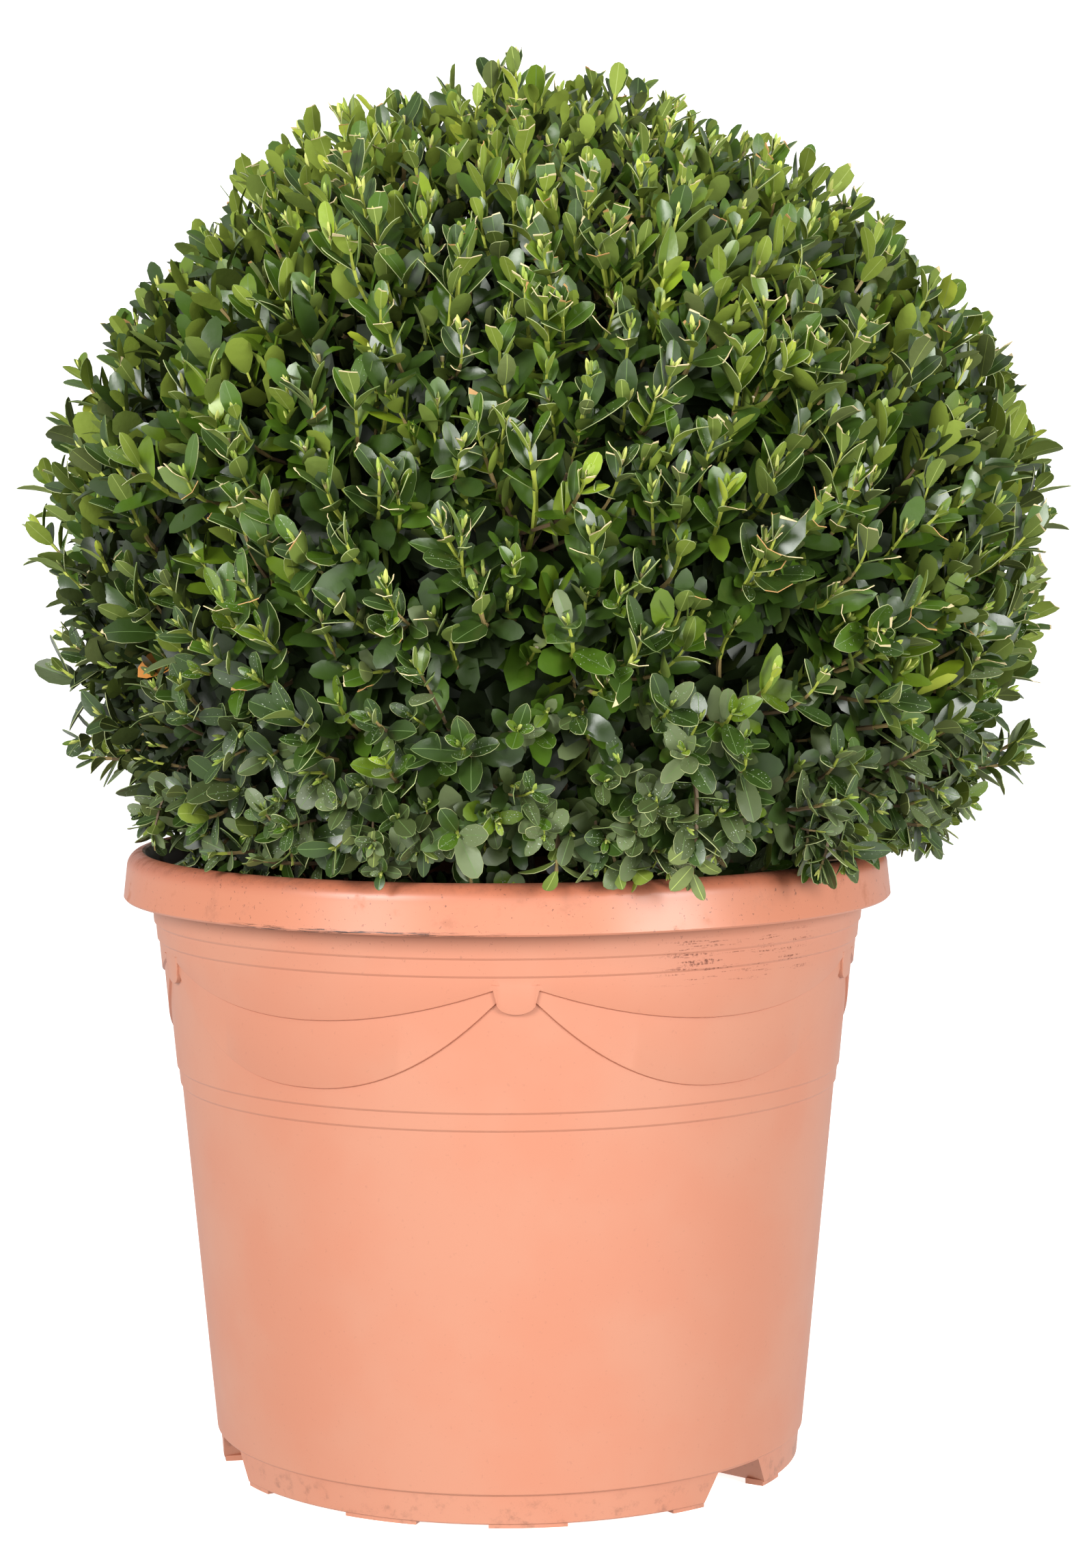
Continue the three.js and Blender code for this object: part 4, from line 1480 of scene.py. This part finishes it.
# %% Fewer and larger leaves deep inside, where only their shade is seen
DEEP_DEPTH = 40
DEEP_SHARE = 0.97
DEEP_GROWTH = 1.42
deep = leaf_depth > DEEP_DEPTH
grown &= ~deep | (dice.uniform(size=leaf_shape) < DEEP_SHARE)
leaf_length = np.where(deep, leaf_length * DEEP_GROWTH, leaf_length)
leaf_half_width = np.where(deep, leaf_half_width * DEEP_GROWTH, leaf_half_width)
print("leaves kept", int(grown.sum()))

# %% [markdown]
# ### Shape of a leaf
#
# A box leaf is a small leathery oval, broadest past its middle, with a blunt tip, a pale midrib
# and a thin pale margin, glossy above and matt below. The pattern starts as a flat grid whose first
# and last rows are drawn together into points. Extruding it downwards gives the leaf its thickness
# and its margin. Leaves deep in the ball only need an upper and a lower skin, so their pattern is
# the grid and its mirror image, welded along the outline.

# %% Helpers for leaf patterns
# A row that no pattern has, for the patterns that end in a point instead of a cut.
NO_CUT_ROW = 99


def leaf_grid(across, stations, pointed_tip):
    """A strip from base (y = 0) to tip. x runs from -1 to 1, and y counts the rows."""
    bm = bmesh.new()
    rows = stations + (1 if pointed_tip else 0)
    bmesh.ops.create_grid(bm, x_segments=across, y_segments=rows, size=1)
    for vert in bm.verts:
        vert.co.y = round((vert.co.y + 1) / 2 * rows)
    ends = [0, rows] if pointed_tip else [0]
    for end in ends:
        together = [vert for vert in bm.verts if vert.co.y == end]
        bmesh.ops.pointmerge(bm, verts=together, merge_co=(0, end, 0))
    return bm


def thick_leaf(stations, pointed_tip):
    """Upper skin, lower skin and the margin between them. z is 1 above and -1 below."""
    bm = leaf_grid(3, stations, pointed_tip)
    bmesh.ops.translate(bm, vec=(0, 0, 1), verts=bm.verts)
    made = bmesh.ops.extrude_face_region(bm, geom=bm.faces[:])
    bmesh.ops.translate(bm, vec=(0, 0, -2), verts=corners_of(made))
    bmesh.ops.recalc_face_normals(bm, faces=bm.faces)
    return bm


def thin_leaf(stations):
    """Upper and lower skin, which share the outline."""
    bm = leaf_grid(2, stations, True)
    outline = {vert for edge in bm.edges if edge.is_boundary for vert in edge.verts}
    for vert in bm.verts:
        vert.co.z = 0 if vert in outline else 1
    made = bmesh.ops.duplicate(bm, geom=bm.faces[:])
    for vert in corners_of(made):
        vert.co.z = -vert.co.z
    weld(bm, 0.001)
    bmesh.ops.recalc_face_normals(bm, faces=bm.faces)
    return bm


def face_kind(face, last_row):
    """What part of the leaf a face is."""
    heights = [vert.co.z for vert in face.verts]
    nearest_row = min(vert.co.y for vert in face.verts)
    if min(heights) < 0 < max(heights):
        return "end" if nearest_row >= last_row else "margin"
    if nearest_row >= last_row - 1:
        return "end"
    if all(abs(vert.co.x) < 0.5 for vert in face.verts):
        return "rib" if max(heights) > 0 else "under_rib"
    return "blade" if max(heights) > 0 else "under"


# %% Leaf patterns
PATTERNS = {}
for pattern_name, pattern_mesh, last_row in (
    ("whole", thick_leaf(5, True), NO_CUT_ROW),
    ("cut", thick_leaf(5, False), 5),
    ("inner", thin_leaf(4), NO_CUT_ROW),
    ("deep", thin_leaf(2), NO_CUT_ROW),
):
    kinds = [face_kind(face, last_row) for face in pattern_mesh.faces]
    corners, faces = read_pattern(pattern_mesh)
    PATTERNS[pattern_name] = {"corners": corners, "faces": faces, "kinds": kinds}
    print(pattern_name, "leaf:", sum(len(face) - 2 for face in faces), "triangles", sorted(set(kinds)))

# %% [markdown]
# The grid's rows become stations along the leaf. At each the half width follows one formula, so a
# leaf can be oval or broader near its tip, and a cut leaf is the same leaf ended early. Then the
# leaf is folded along its midrib, bent back along its length and given a slight twist.

# %% Places on a leaf
LEAF_THICKNESS = 0.38


def half_width(leaf, share):
    """Half width of each leaf at shares of its length, in millimetres."""
    base_power, tip_power = leaf["base_power"][:, None], leaf["tip_power"][:, None]
    peak = base_power / (base_power + tip_power)
    top = peak**base_power * (1 - peak) ** tip_power
    curve = share**base_power * np.maximum(1 - share, 0) ** tip_power / top
    return curve * leaf["half_width"][:, None]


def on_leaf(leaf, share, across, lift):
    """Places on leaves, by how far along, how far to the side, and how far above the blade."""
    length = leaf["length"][:, None]
    bend = leaf["curl"][:, None] * share
    safe = np.where(np.abs(leaf["curl"]) < 1e-3, 1e-3, leaf["curl"])[:, None]
    forward = length * np.sin(bend) / safe
    backward = -length * (1 - np.cos(bend)) / safe
    fold = np.abs(across) * np.sin(leaf["fold"])[:, None]
    wave = leaf["wave"][:, None] * across * (share - 0.4)
    sideways = np.cross(leaf["axis"], leaf["upper"])
    return (
        leaf["base"][:, None]
        + sideways[:, None] * (across * np.cos(leaf["fold"])[:, None])[..., None]
        + leaf["axis"][:, None] * forward[..., None]
        + leaf["upper"][:, None] * (backward + fold + wave + lift)[..., None]
    )


print("leaf thickness", LEAF_THICKNESS, "mm")

# %% Shape every leaf of one pattern
STATIONS = {
    "whole": [0, 0.12, 0.33, 0.59, 0.82, 0.95, 1],
    "cut": [0, 0.16, 0.42, 0.74, 0.94, 1],
    "inner": [0, 0.12, 0.38, 0.7, 0.92, 1],
    "deep": [0, 0.32, 0.82, 1],
}
MARGIN_WIDTH = 0.11
RIB_HALF_WIDTH = 0.18
# The dried edge of a cut leaf: how wide it is, and the row of corners where it starts.
CUT_EDGE = 0.42
EDGE_ROW = 4


def shaped_leaves(pattern_name, leaf):
    """Corner places of every leaf of a pattern, from the arrays that describe the leaves."""
    pattern = PATTERNS[pattern_name]["corners"]
    side, row, layer = pattern[:, 0], pattern[:, 1].astype(int), pattern[:, 2]
    share = np.array(STATIONS[pattern_name])[row][None, :] * leaf["cut"][:, None]
    length = leaf["length"][:, None]
    if pattern_name == "cut":
        share = np.where(row == EDGE_ROW, leaf["cut"][:, None] - CUT_EDGE / length, share)
        share = share + leaf["slant"][:, None] * side * (row / (EDGE_ROW + 1)) ** 2
        share = np.maximum(share, 0)
    wide = half_width(leaf, share)
    if pattern_name in ("whole", "cut"):
        on_margin = np.abs(side) > 0.9
        inset = MARGIN_WIDTH * (layer > 0)
        rib = np.minimum(RIB_HALF_WIDTH, wide * 0.5)
        across = np.where(on_margin, np.maximum(wide - inset, wide * 0.5), rib) * np.sign(side)
        thickness = np.where(layer > 0, 0.5, -0.5) * LEAF_THICKNESS
    else:
        across = wide * side
        thickness = layer * 0.5 * LEAF_THICKNESS
    return on_leaf(leaf, share, across, thickness)


print("leaf margin", MARGIN_WIDTH, "mm, dried edge", CUT_EDGE, "mm")

# %% [markdown]
# ### Greens
#
# Box leaves open yellow-green and darken over a year to a deep bluish green. The top of the ball
# gets the most light and is the most yellow, and the skirt is dull and grey. One ramp of greens
# runs from the darkest to the youngest, and each leaf's place on it comes from its height, its
# spray and its age.

# %% Leaf materials
UPPER_GREENS = {
    "dusk": "#2c4115",
    "deep": "#314815",
    "leaf": "#425f15",
    "olive": "#5b731a",
    "fresh": "#839a24",
    "young": "#b0bd3b",
}
# The shade green here and under_shade below are painted shade, for leaves deep inside the ball.
DULL_GREENS = {"shade": "#1b280b", "grey": "#414e27", "pale_grey": "#5f6c45"}
LOWER_GREENS = {
    "under_shade": "#3d4a1c",
    "under_grey": "#68743f",
    "under_dim": "#6c7e34",
    "under": "#829436",
    "under_young": "#abb840",
}
OTHER_LEAF = {
    "rib": "#5c7440",
    "fresh_rib": "#98ab4e",
    "pale_rib": "#a0af5e",
    "margin": "#9ba370",
    "dim_margin": "#6a7b45",
    "dried_cut": "#d2c194",
    "brown_cut": "#b48a55",
    "dead": "#b97a35",
}


def leaf_material(name, code, roughness, coat, relief):
    recipe = Recipe(name)
    recipe.shade(Base_Color=paint(code), Specular_IOR_Level=0.36)
    recipe.shade(Coat_Weight=coat, Coat_Roughness=0.25)
    uneven = recipe.noise(recipe.place(), 3.5, 2)
    recipe.shade(Roughness=recipe.ranged(uneven, roughness - 0.07, roughness + 0.1))
    recipe.shade(Normal=recipe.bump(uneven, relief))
    return recipe.material


leaf_materials = []
leaf_slots = {}
for palette, roughness, coat, relief in (
    (UPPER_GREENS, 0.36, 0.45, 0.2),
    (DULL_GREENS, 0.5, 0.12, 0.2),
    (LOWER_GREENS, 0.62, 0.0, 0.25),
    (OTHER_LEAF, 0.6, 0.0, 0.2),
):
    for colour_name, code in palette.items():
        leaf_slots[colour_name] = len(leaf_materials)
        leaf_materials.append(leaf_material(f"leaf_{colour_name}", code, roughness, coat, relief))
print("leaf colours:", ", ".join(leaf_slots))

# %% Place of every leaf on the ramp of greens
# Brightness at the rim of the pot and how much is added up to the top, and how much chance does.
LOWEST_GREEN = 0.16
GREEN_RISE = 0.3
SPRAY_SPREAD = 0.12
GREEN_SPREAD = 0.09
GREEN_STEPS = [0.2, 0.36, 0.52, 0.68, 0.86]
# How much paler each pair is on a growing shoot, from the tip down, and on a clipped one.
PAIR_YOUTH = np.array([0.42, 0.2, 0.07, 0, 0, 0, 0, 0, 0])
CLIPPED_YOUTH = 0.15
# The side of the ball where shade is painted into the greens: its direction, and what that takes off.
PAINTED_SHADE_SIDE = (-0.75, -0.3, -0.6)
PAINTED_SHADE_LOSS = 0.14

dice = np.random.default_rng(53)
rise = (leaf_base[..., 2] - RIM_HEIGHT) / (crown_high.z - RIM_HEIGHT)
spray_mood = dice.normal(0, SPRAY_SPREAD, (count, 1, 1))
# How far each shoot faces the side where shade is painted.
painted_shade_share = np.clip((normals @ unit(np.array(PAINTED_SHADE_SIDE)) - 0.66) / 0.25, 0, 1)[:, None, None]
young_share = np.where(is_clipped, CLIPPED_YOUTH, 1 - 0.4 * lowness)
youth = (PAIR_YOUTH * young_share[:, None])[:, :, None]
brightness = LOWEST_GREEN + GREEN_RISE * rise + spray_mood
# Painted shade takes brightness off the greens on one side of the ball.
brightness = brightness + dice.normal(0, GREEN_SPREAD, leaf_shape) + youth - PAINTED_SHADE_LOSS * painted_shade_share
ramp = np.array([leaf_slots[name] for name in ("dusk", "deep", "leaf", "olive", "fresh", "young")])
steps_on_ramp = np.digitize(brightness, GREEN_STEPS)
print("mean brightness of the leaves", round(float(brightness[grown].mean()), 2))

# %% Deal the greens
UNDER_STEPS = [0.2, 0.38, 0.72]
# Shares of the leaves: dull ones at the foot, dead ones, browned cuts and dim margins.
DULL_SHARE = 0.75
DEAD_SHARE = 0.0004
BROWNED_SHARE = 0.22
DIM_SHARE = 0.45
MORE_DIM_BELOW = 0.4
PALE_GREY_FROM = 0.24
# Leaves about this deep get the shade greens, which are painted shade, and less deep ones on the side with
# painted shade.
SHADE_DEPTH = (42, 6)
PAINTED_SHADE_SHALLOWER = 26


def either(test, colour, other):
    """One colour's slot where the test holds. Elsewhere another's, or the slots that are given."""
    if isinstance(other, str):
        other = leaf_slots[other]
    return np.where(test, leaf_slots[colour], other)


blade_slot = ramp[steps_on_ramp]
dull = (dice.uniform(size=leaf_shape) < DULL_SHARE * low_leaf) & (steps_on_ramp < 3)
blade_slot = np.where(dull, either(brightness > PALE_GREY_FROM, "pale_grey", "grey"), blade_slot)
# Deep leaves get the shade greens: painted shade.
in_shade = leaf_depth > dice.normal(*SHADE_DEPTH, leaf_shape) - PAINTED_SHADE_SHALLOWER * painted_shade_share
blade_slot = either(in_shade, "shade", blade_slot)
dead = dice.uniform(size=leaf_shape) < DEAD_SHARE
blade_slot = either(dead, "dead", blade_slot)

under_ramp = np.array([leaf_slots[name] for name in ("under_grey", "under_dim", "under", "under_young")])
under_slot = under_ramp[np.digitize(brightness, UNDER_STEPS)]
under_slot = either(dead, "dead", either(in_shade, "under_shade", under_slot))
rib_slot = either(steps_on_ramp > 3, "fresh_rib", "rib")
browned = dice.uniform(size=leaf_shape) < BROWNED_SHARE
cut_slot = either(browned, "brown_cut", "dried_cut")
dim_margin = dice.uniform(size=leaf_shape) < DIM_SHARE + MORE_DIM_BELOW * low_leaf
margin_slot = either(dim_margin, "dim_margin", "margin")
print("dull leaves", int((dull & grown).sum()), "and leaves in shade", int((in_shade & grown).sum()))

# %% [markdown]
# Every leaf now has its description. The outermost are made whole or cut with full detail, those
# behind them thinner, and the deepest with the fewest faces. Each kind is joined into pieces of
# a size that stays easy to handle.

# %% Describe every leaf
OUTER_DEPTH = 16
INNER_DEPTH = 34
# Powers of the outline towards the base and the tip, between which chance picks.
BASE_POWERS = (0.65, 0.95)
TIP_POWERS = (0.46, 0.78)
# How leaves bend back along their length in radians, and fold in degrees: a mean and a spread.
CURL = (0.2, 0.28)
FOLD = (11, 6)
FLATTER_BELOW = 0.35
WAVE_SPREAD = 0.12
SLANT_SPREAD = 0.11
MOST_SLANT = 0.24

describe = {
    "base": leaf_base,
    "axis": blade_axis,
    "upper": upper,
    "length": leaf_length,
    "half_width": leaf_half_width,
    "cut": np.where(is_cut, cut_share, 1.0),
    "slant": np.clip(dice.normal(0, SLANT_SPREAD, leaf_shape), -MOST_SLANT, MOST_SLANT),
    "base_power": dice.uniform(*BASE_POWERS, leaf_shape),
    "tip_power": dice.uniform(*TIP_POWERS, leaf_shape),
    "curl": dice.normal(*CURL, leaf_shape),
    "fold": np.radians(dice.normal(*FOLD, leaf_shape)) * (1 - FLATTER_BELOW * low_leaf),
    "wave": dice.normal(0, WAVE_SPREAD, leaf_shape),
    "blade": blade_slot,
    "under": under_slot,
    "rib": rib_slot,
    "under_rib": np.full(leaf_shape, leaf_slots["pale_rib"]),
    "margin": margin_slot,
    "end": cut_slot,
    "rise": rise,
}
chosen = {
    "cut": grown & is_cut,
    "whole": grown & ~is_cut & (leaf_depth < OUTER_DEPTH),
    "inner": grown & ~is_cut & (leaf_depth >= OUTER_DEPTH) & (leaf_depth < INNER_DEPTH),
    "deep": grown & ~is_cut & (leaf_depth >= INNER_DEPTH),
}
print("leaves of each kind:", {name: int(mask.sum()) for name, mask in chosen.items()})

# %% Make the leaves
MOST_TRIANGLES = 195_000


def dealt_faces(kinds, leaf):
    """The material of each face of each leaf."""
    return np.stack([leaf[kind] for kind in kinds], axis=1)


leaf_triangles = 0
for pattern_name, mask in chosen.items():
    leaf = {name: values[mask] for name, values in describe.items()}
    order = np.argsort(leaf["rise"])
    pattern = PATTERNS[pattern_name]
    each = sum(len(face) - 2 for face in pattern["faces"])
    batches = math.ceil(len(order) * each / MOST_TRIANGLES)
    for number, batch in enumerate(np.array_split(order, batches)):
        part = {name: values[batch] for name, values in leaf.items()}
        places = shaped_leaves(pattern_name, part)
        dealt = dealt_faces(pattern["kinds"], part)
        name = f"{pattern_name}_leaves_{number + 1}"
        piece = joined_copies(name, places, pattern["faces"], leaf_materials, dealt)
        finish_piece(piece, ROW_SCALE, sharp_angle=45)
        if pattern_name == "whole" and number == 0:
            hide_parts("foliage_ball")
        leaf_triangles += triangles_of(piece)
print(f"all leaves: {int(grown.sum()):,} with {leaf_triangles:,} triangles")

# %% [markdown]
# ### Dust
#
# Splashed water leaves pale specks on the lower leaves. A pattern in the leaf's colour would be
# finer than a map can hold, so each speck is a tiny flat cone that lies on the blade.

# %% Specks on the lower leaves
SPECKS_PER_LEAF = 18
SPECK_HEIGHT = 0.16
SPECK_RADII = (0.16, 0.42)
SPECK_STRETCH = (0.6, 1.9)
SPECKED_SHARE = (0.15, 0.85)
SPECKED_WIDTH = 0.8
DUST_LEVEL = 600
DUST_FADE = 170
DUSTY_SHARE = 0.6

dice = np.random.default_rng(59)
dusty_share = DUSTY_SHARE * np.clip((DUST_LEVEL - leaf_base[..., 2]) / DUST_FADE, 0, 1)
dusty = chosen["whole"] & (dice.uniform(size=leaf_shape) < dusty_share)
leaf = {name: values[dusty] for name, values in describe.items()}
speck_shape = (int(dusty.sum()), SPECKS_PER_LEAF)
share = dice.uniform(*SPECKED_SHARE, speck_shape)
across = half_width(leaf, share) * dice.uniform(-SPECKED_WIDTH, SPECKED_WIDTH, speck_shape)
spots = on_leaf(leaf, share, across, LEAF_THICKNESS / 2).reshape(-1, 3)

speck = bmesh.new()
bmesh.ops.create_cone(speck, cap_ends=True, segments=3, radius1=1, radius2=0, depth=1)
speck_corners, speck_faces = read_pattern(speck)
speck_sizes = dice.uniform(*SPECK_RADII, (len(spots), 1))
speck_sizes = speck_sizes * dice.uniform(*SPECK_STRETCH, (len(spots), 2))
along_leaf = np.repeat(leaf["axis"], SPECKS_PER_LEAF, axis=0)
above_leaf = np.repeat(leaf["upper"], SPECKS_PER_LEAF, axis=0)
leaf_axes = (np.cross(along_leaf, above_leaf), along_leaf, above_leaf)
speck_heights = np.full(len(spots), SPECK_HEIGHT)
speck_stretch = (speck_sizes[:, 0], speck_sizes[:, 1], speck_heights)
speck_places = set_in_place(speck_corners, spots, leaf_axes, speck_stretch)
dust_material = leaf_material("pale_dust", "#aab3a0", 0.85, 0.0, 0.1)
dust = joined_copies("dust_specks", speck_places, speck_faces, [dust_material])
finish_piece(dust, ROW_SCALE, sharp_angle=70)

# %% [markdown]
# ## Wood of the branching
#
# A limb, a branch or a shoot is a tube that narrows along its path. One tube pattern per number of
# sides and rings serves every order. Shoots of box are four-sided. They swell slightly at each
# pair of leaves, are bright yellow-green while young, and turn tan and then brown lower down.

# %% Tubes along paths


def tube_pattern(rings, sides):
    """A closed tube with rings of corners one apart, and the number of the band of each face."""
    bm = bmesh.new()
    bmesh.ops.create_cone(bm, cap_ends=True, segments=sides, radius1=1, radius2=1, depth=rings - 1)
    bmesh.ops.translate(bm, vec=(0, 0, (rings - 1) / 2), verts=bm.verts)
    for height in range(1, rings - 1):
        slice_through(bm, (0, 0, height), UP)
    bands = [int(min(vert.co.z for vert in face.verts) + 0.01) for face in bm.faces]
    return *read_pattern(bm), bands


def tubes(paths, radii, sides):
    """Corner places of a tube round every path."""
    corners, faces, bands = tube_pattern(paths.shape[1], sides)
    ring = corners[:, 2].round().astype(int)
    growth = unit(np.gradient(paths, axis=1))
    spare = unit(paths[:, -1] - paths[:, 0])
    sideways = unit(np.cross(spare, np.roll(spare, 1, axis=1) + np.array([0.1, 0.2, 0.3])))[:, None]
    first = unit(sideways - growth * np.sum(sideways * growth, axis=2, keepdims=True))
    second = np.cross(growth, first)
    around = first[:, ring] * corners[None, :, :1] + second[:, ring] * corners[None, :, 1:2]
    return paths[:, ring] + around * radii[:, ring][..., None], faces, bands


for order in wood_orders:
    places, faces, _ = tubes(order["paths"], order["radii"], order["sides"])
    piece = joined_copies(order["name"], places, faces, [bark.material])
    finish_piece(piece, ROW_SCALE, sharp_angle=60)

# %% Shoots
SHOOT_COLOURS = {"old": "#604f38", "tan": "#8f7b4e", "green": "#98a23f", "bright": "#b2bb4e"}
SHOOT_RADIUS = 1.2
SHOOT_SIDES = 4
INNER_SHOOT = 34
# Rings from the foot to the tip: how many pairs of leaves down, and how thick it is there.
OUTER_RINGS = (
    *((7, 1.0), (5, 1.05), (4, 0.9), (3, 1.1), (2.5, 0.82)),
    *((2, 1.08), (1.5, 0.8), (1, 1.06), (0.4, 0.8)),
)
INNER_RINGS = ((5, 1.0), (2, 0.9))
RING_GAP = 0.05
# The ages, from 0 at the foot to 1 at the tip, at which a stem turns tan, green and bright.
STEM_AGES = [0.18, 0.42, 0.8]
OLDER_BELOW = 0.45

shoot_materials = [
    leaf_material(f"shoot_{name}", code, 0.55, 0.0, 0.3) for name, code in SHOOT_COLOURS.items()
]
shoot_age = dice.normal(0, 0.12, count) - OLDER_BELOW * lowness


def shoot_stems(name, picked, rings):
    """The stems of the picked shoots, as one piece."""
    pairs_down = [pairs for pairs, _ in rings]
    ring_station = np.array([np.interp(pairs_down, np.arange(PAIRS), places) for places in station[picked]])
    ring_station = np.pad(ring_station, ((0, 0), (1, 1)))
    ring_station[:, -1] = run[picked, -1]
    apart = np.arange(ring_station.shape[1]) * RING_GAP
    ring_station = np.maximum.accumulate(np.maximum(ring_station, 0) + apart, axis=1)
    stems, _ = along_paths(shoot_paths[picked], run[picked], ring_station)
    swelling = np.array([1.1, *[thickness for _, thickness in rings], 0.7])
    radii = SHOOT_RADIUS * swelling * np.linspace(1.1, 0.8, len(swelling))
    radii = radii * (vigour * (1 - 0.2 * lowness))[picked, None]
    places, faces, bands = tubes(stems, radii, SHOOT_SIDES)
    age = np.array(bands)[None, :] / (len(swelling) - 1) + shoot_age[picked, None]
    piece = joined_copies(name, places, faces, shoot_materials, np.digitize(age, STEM_AGES))
    finish_piece(piece, ROW_SCALE, sharp_angle=70)


shoot_stems("outer_shoots", tip_depth < INNER_SHOOT, OUTER_RINGS)
shoot_stems("inner_shoots", tip_depth >= INNER_SHOOT, INNER_RINGS)

# %% [markdown]
# ### Buds and cut ends
#
# Below each tip up to three slender buds stand round the stem, yellow-green and pointed. Where
# shears have gone through a shoot, its end is a flat disc of dry wood.

# %% Buds
BUD_COUNT = 3
BUD_LENGTH = 8.5
BUD_HALF_WIDTH = 1.4
BUD_TAPER = 0.35
BUDDING_DEPTH = 27
BUDDING_SHARE = 0.85
BUD_LEANS = (0.1, 0.42)
BUD_DROPS = (-1.0, 3)
BUD_SIZES = (0.55, 1.15)
SMALLER_BELOW = 0.4
BUD_GREENS = {"bud_green": "#9bb04c", "bud_bright": "#c3c96c", "bud_olive": "#808f42"}


def bud_pattern():
    """A slender spindle with four sides."""
    bm = bmesh.new()
    bmesh.ops.create_uvsphere(bm, u_segments=4, v_segments=4, radius=1)
    for vert in bm.verts:
        along = (vert.co.z + 1) / 2
        vert.co.z = along
        vert.co.xy *= 1 - BUD_TAPER * along
    return bm


bud_corners, bud_faces = read_pattern(bud_pattern())
dice = np.random.default_rng(67)
tip_growth = growth[:, 0]
bud_lean = dice.uniform(*BUD_LEANS, (count, BUD_COUNT, 1))
bud_turn = dice.uniform(0, math.tau, (count, 1)) + np.arange(BUD_COUNT) * math.tau / BUD_COUNT
bud_turn = bud_turn[..., None]
bud_out = first_side[:, :1] * np.cos(bud_turn) + second_side[:, :1] * np.sin(bud_turn)
bud_axis = unit(tip_growth[:, None] + bud_out * bud_lean)
bud_base = tips[:, None] - tip_growth[:, None] * dice.uniform(*BUD_DROPS, (count, BUD_COUNT, 1))
bud_size = dice.uniform(*BUD_SIZES, (count, BUD_COUNT)) * (1 - SMALLER_BELOW * lowness)[:, None]
bud_kept = ~touches_pot(bud_base + bud_axis * BUD_LENGTH, POT_MARGIN)
bud_kept &= dice.uniform(size=bud_kept.shape) < BUDDING_SHARE
bud_kept &= (tip_depth < BUDDING_DEPTH)[:, None]
axis, size = bud_axis[bud_kept], bud_size[bud_kept]
across = unit(np.cross(axis, bud_out[bud_kept]))
bud_axes = (across, np.cross(axis, across), axis)
bud_stretch = (BUD_HALF_WIDTH * size, BUD_HALF_WIDTH * size, BUD_LENGTH * size)
bud_places = set_in_place(bud_corners, bud_base[bud_kept], bud_axes, bud_stretch)
bud_materials = [leaf_material(name, code, 0.5, 0.0, 0.2) for name, code in BUD_GREENS.items()]
bud_dealt = dice.integers(0, len(bud_materials), (len(bud_places), 1))
buds = joined_copies("buds", bud_places, bud_faces, bud_materials, bud_dealt)
finish_piece(buds, ROW_SCALE, sharp_angle=70)

# %% Cut ends
STUB_SIDES = 6
STUB_LENGTHS = (1.5, 3.6)
STUB_RADII = (0.75, 1.15)
STUB_SHARE = 0.75
stub_shoots = is_clipped & (dice.uniform(size=count) < STUB_SHARE) & (surface[:, 2] > CUT_ABOVE)
stub_foot = tips[stub_shoots] - tip_growth[stub_shoots] * 0.5
stub_length = dice.uniform(*STUB_LENGTHS, (stub_shoots.sum(), 1))
stub_head = stub_foot + tip_growth[stub_shoots] * stub_length
stub_paths = np.stack([stub_foot, stub_head], axis=1)
stub_radii = dice.uniform(*STUB_RADII, (len(stub_paths), 1)) * np.array([[1.0, 1.05]])
places, faces, bands = tubes(stub_paths, stub_radii, STUB_SIDES)
stub_materials = [
    leaf_material("stub_side", "#b7a872", 0.7, 0.0, 0.2),
    leaf_material("stub_cut", "#e3d9b6", 0.8, 0.0, 0.2),
]
# The face on top starts one band up, and only that face is the pale cut.
is_top = (np.array(bands) > 0).astype(int)[None, :]
stubs = joined_copies("cut_ends", places, faces, stub_materials, is_top)
finish_piece(stubs, ROW_SCALE, sharp_angle=60)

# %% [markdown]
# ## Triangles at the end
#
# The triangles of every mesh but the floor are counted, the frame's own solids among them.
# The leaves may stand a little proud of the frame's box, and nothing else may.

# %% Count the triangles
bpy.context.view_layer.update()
total = sum(triangles_of(obj) for obj in scene.objects if obj.type == "MESH" and obj != floor)
print(f"triangles in all, with the frame's own solids: {total:,}")
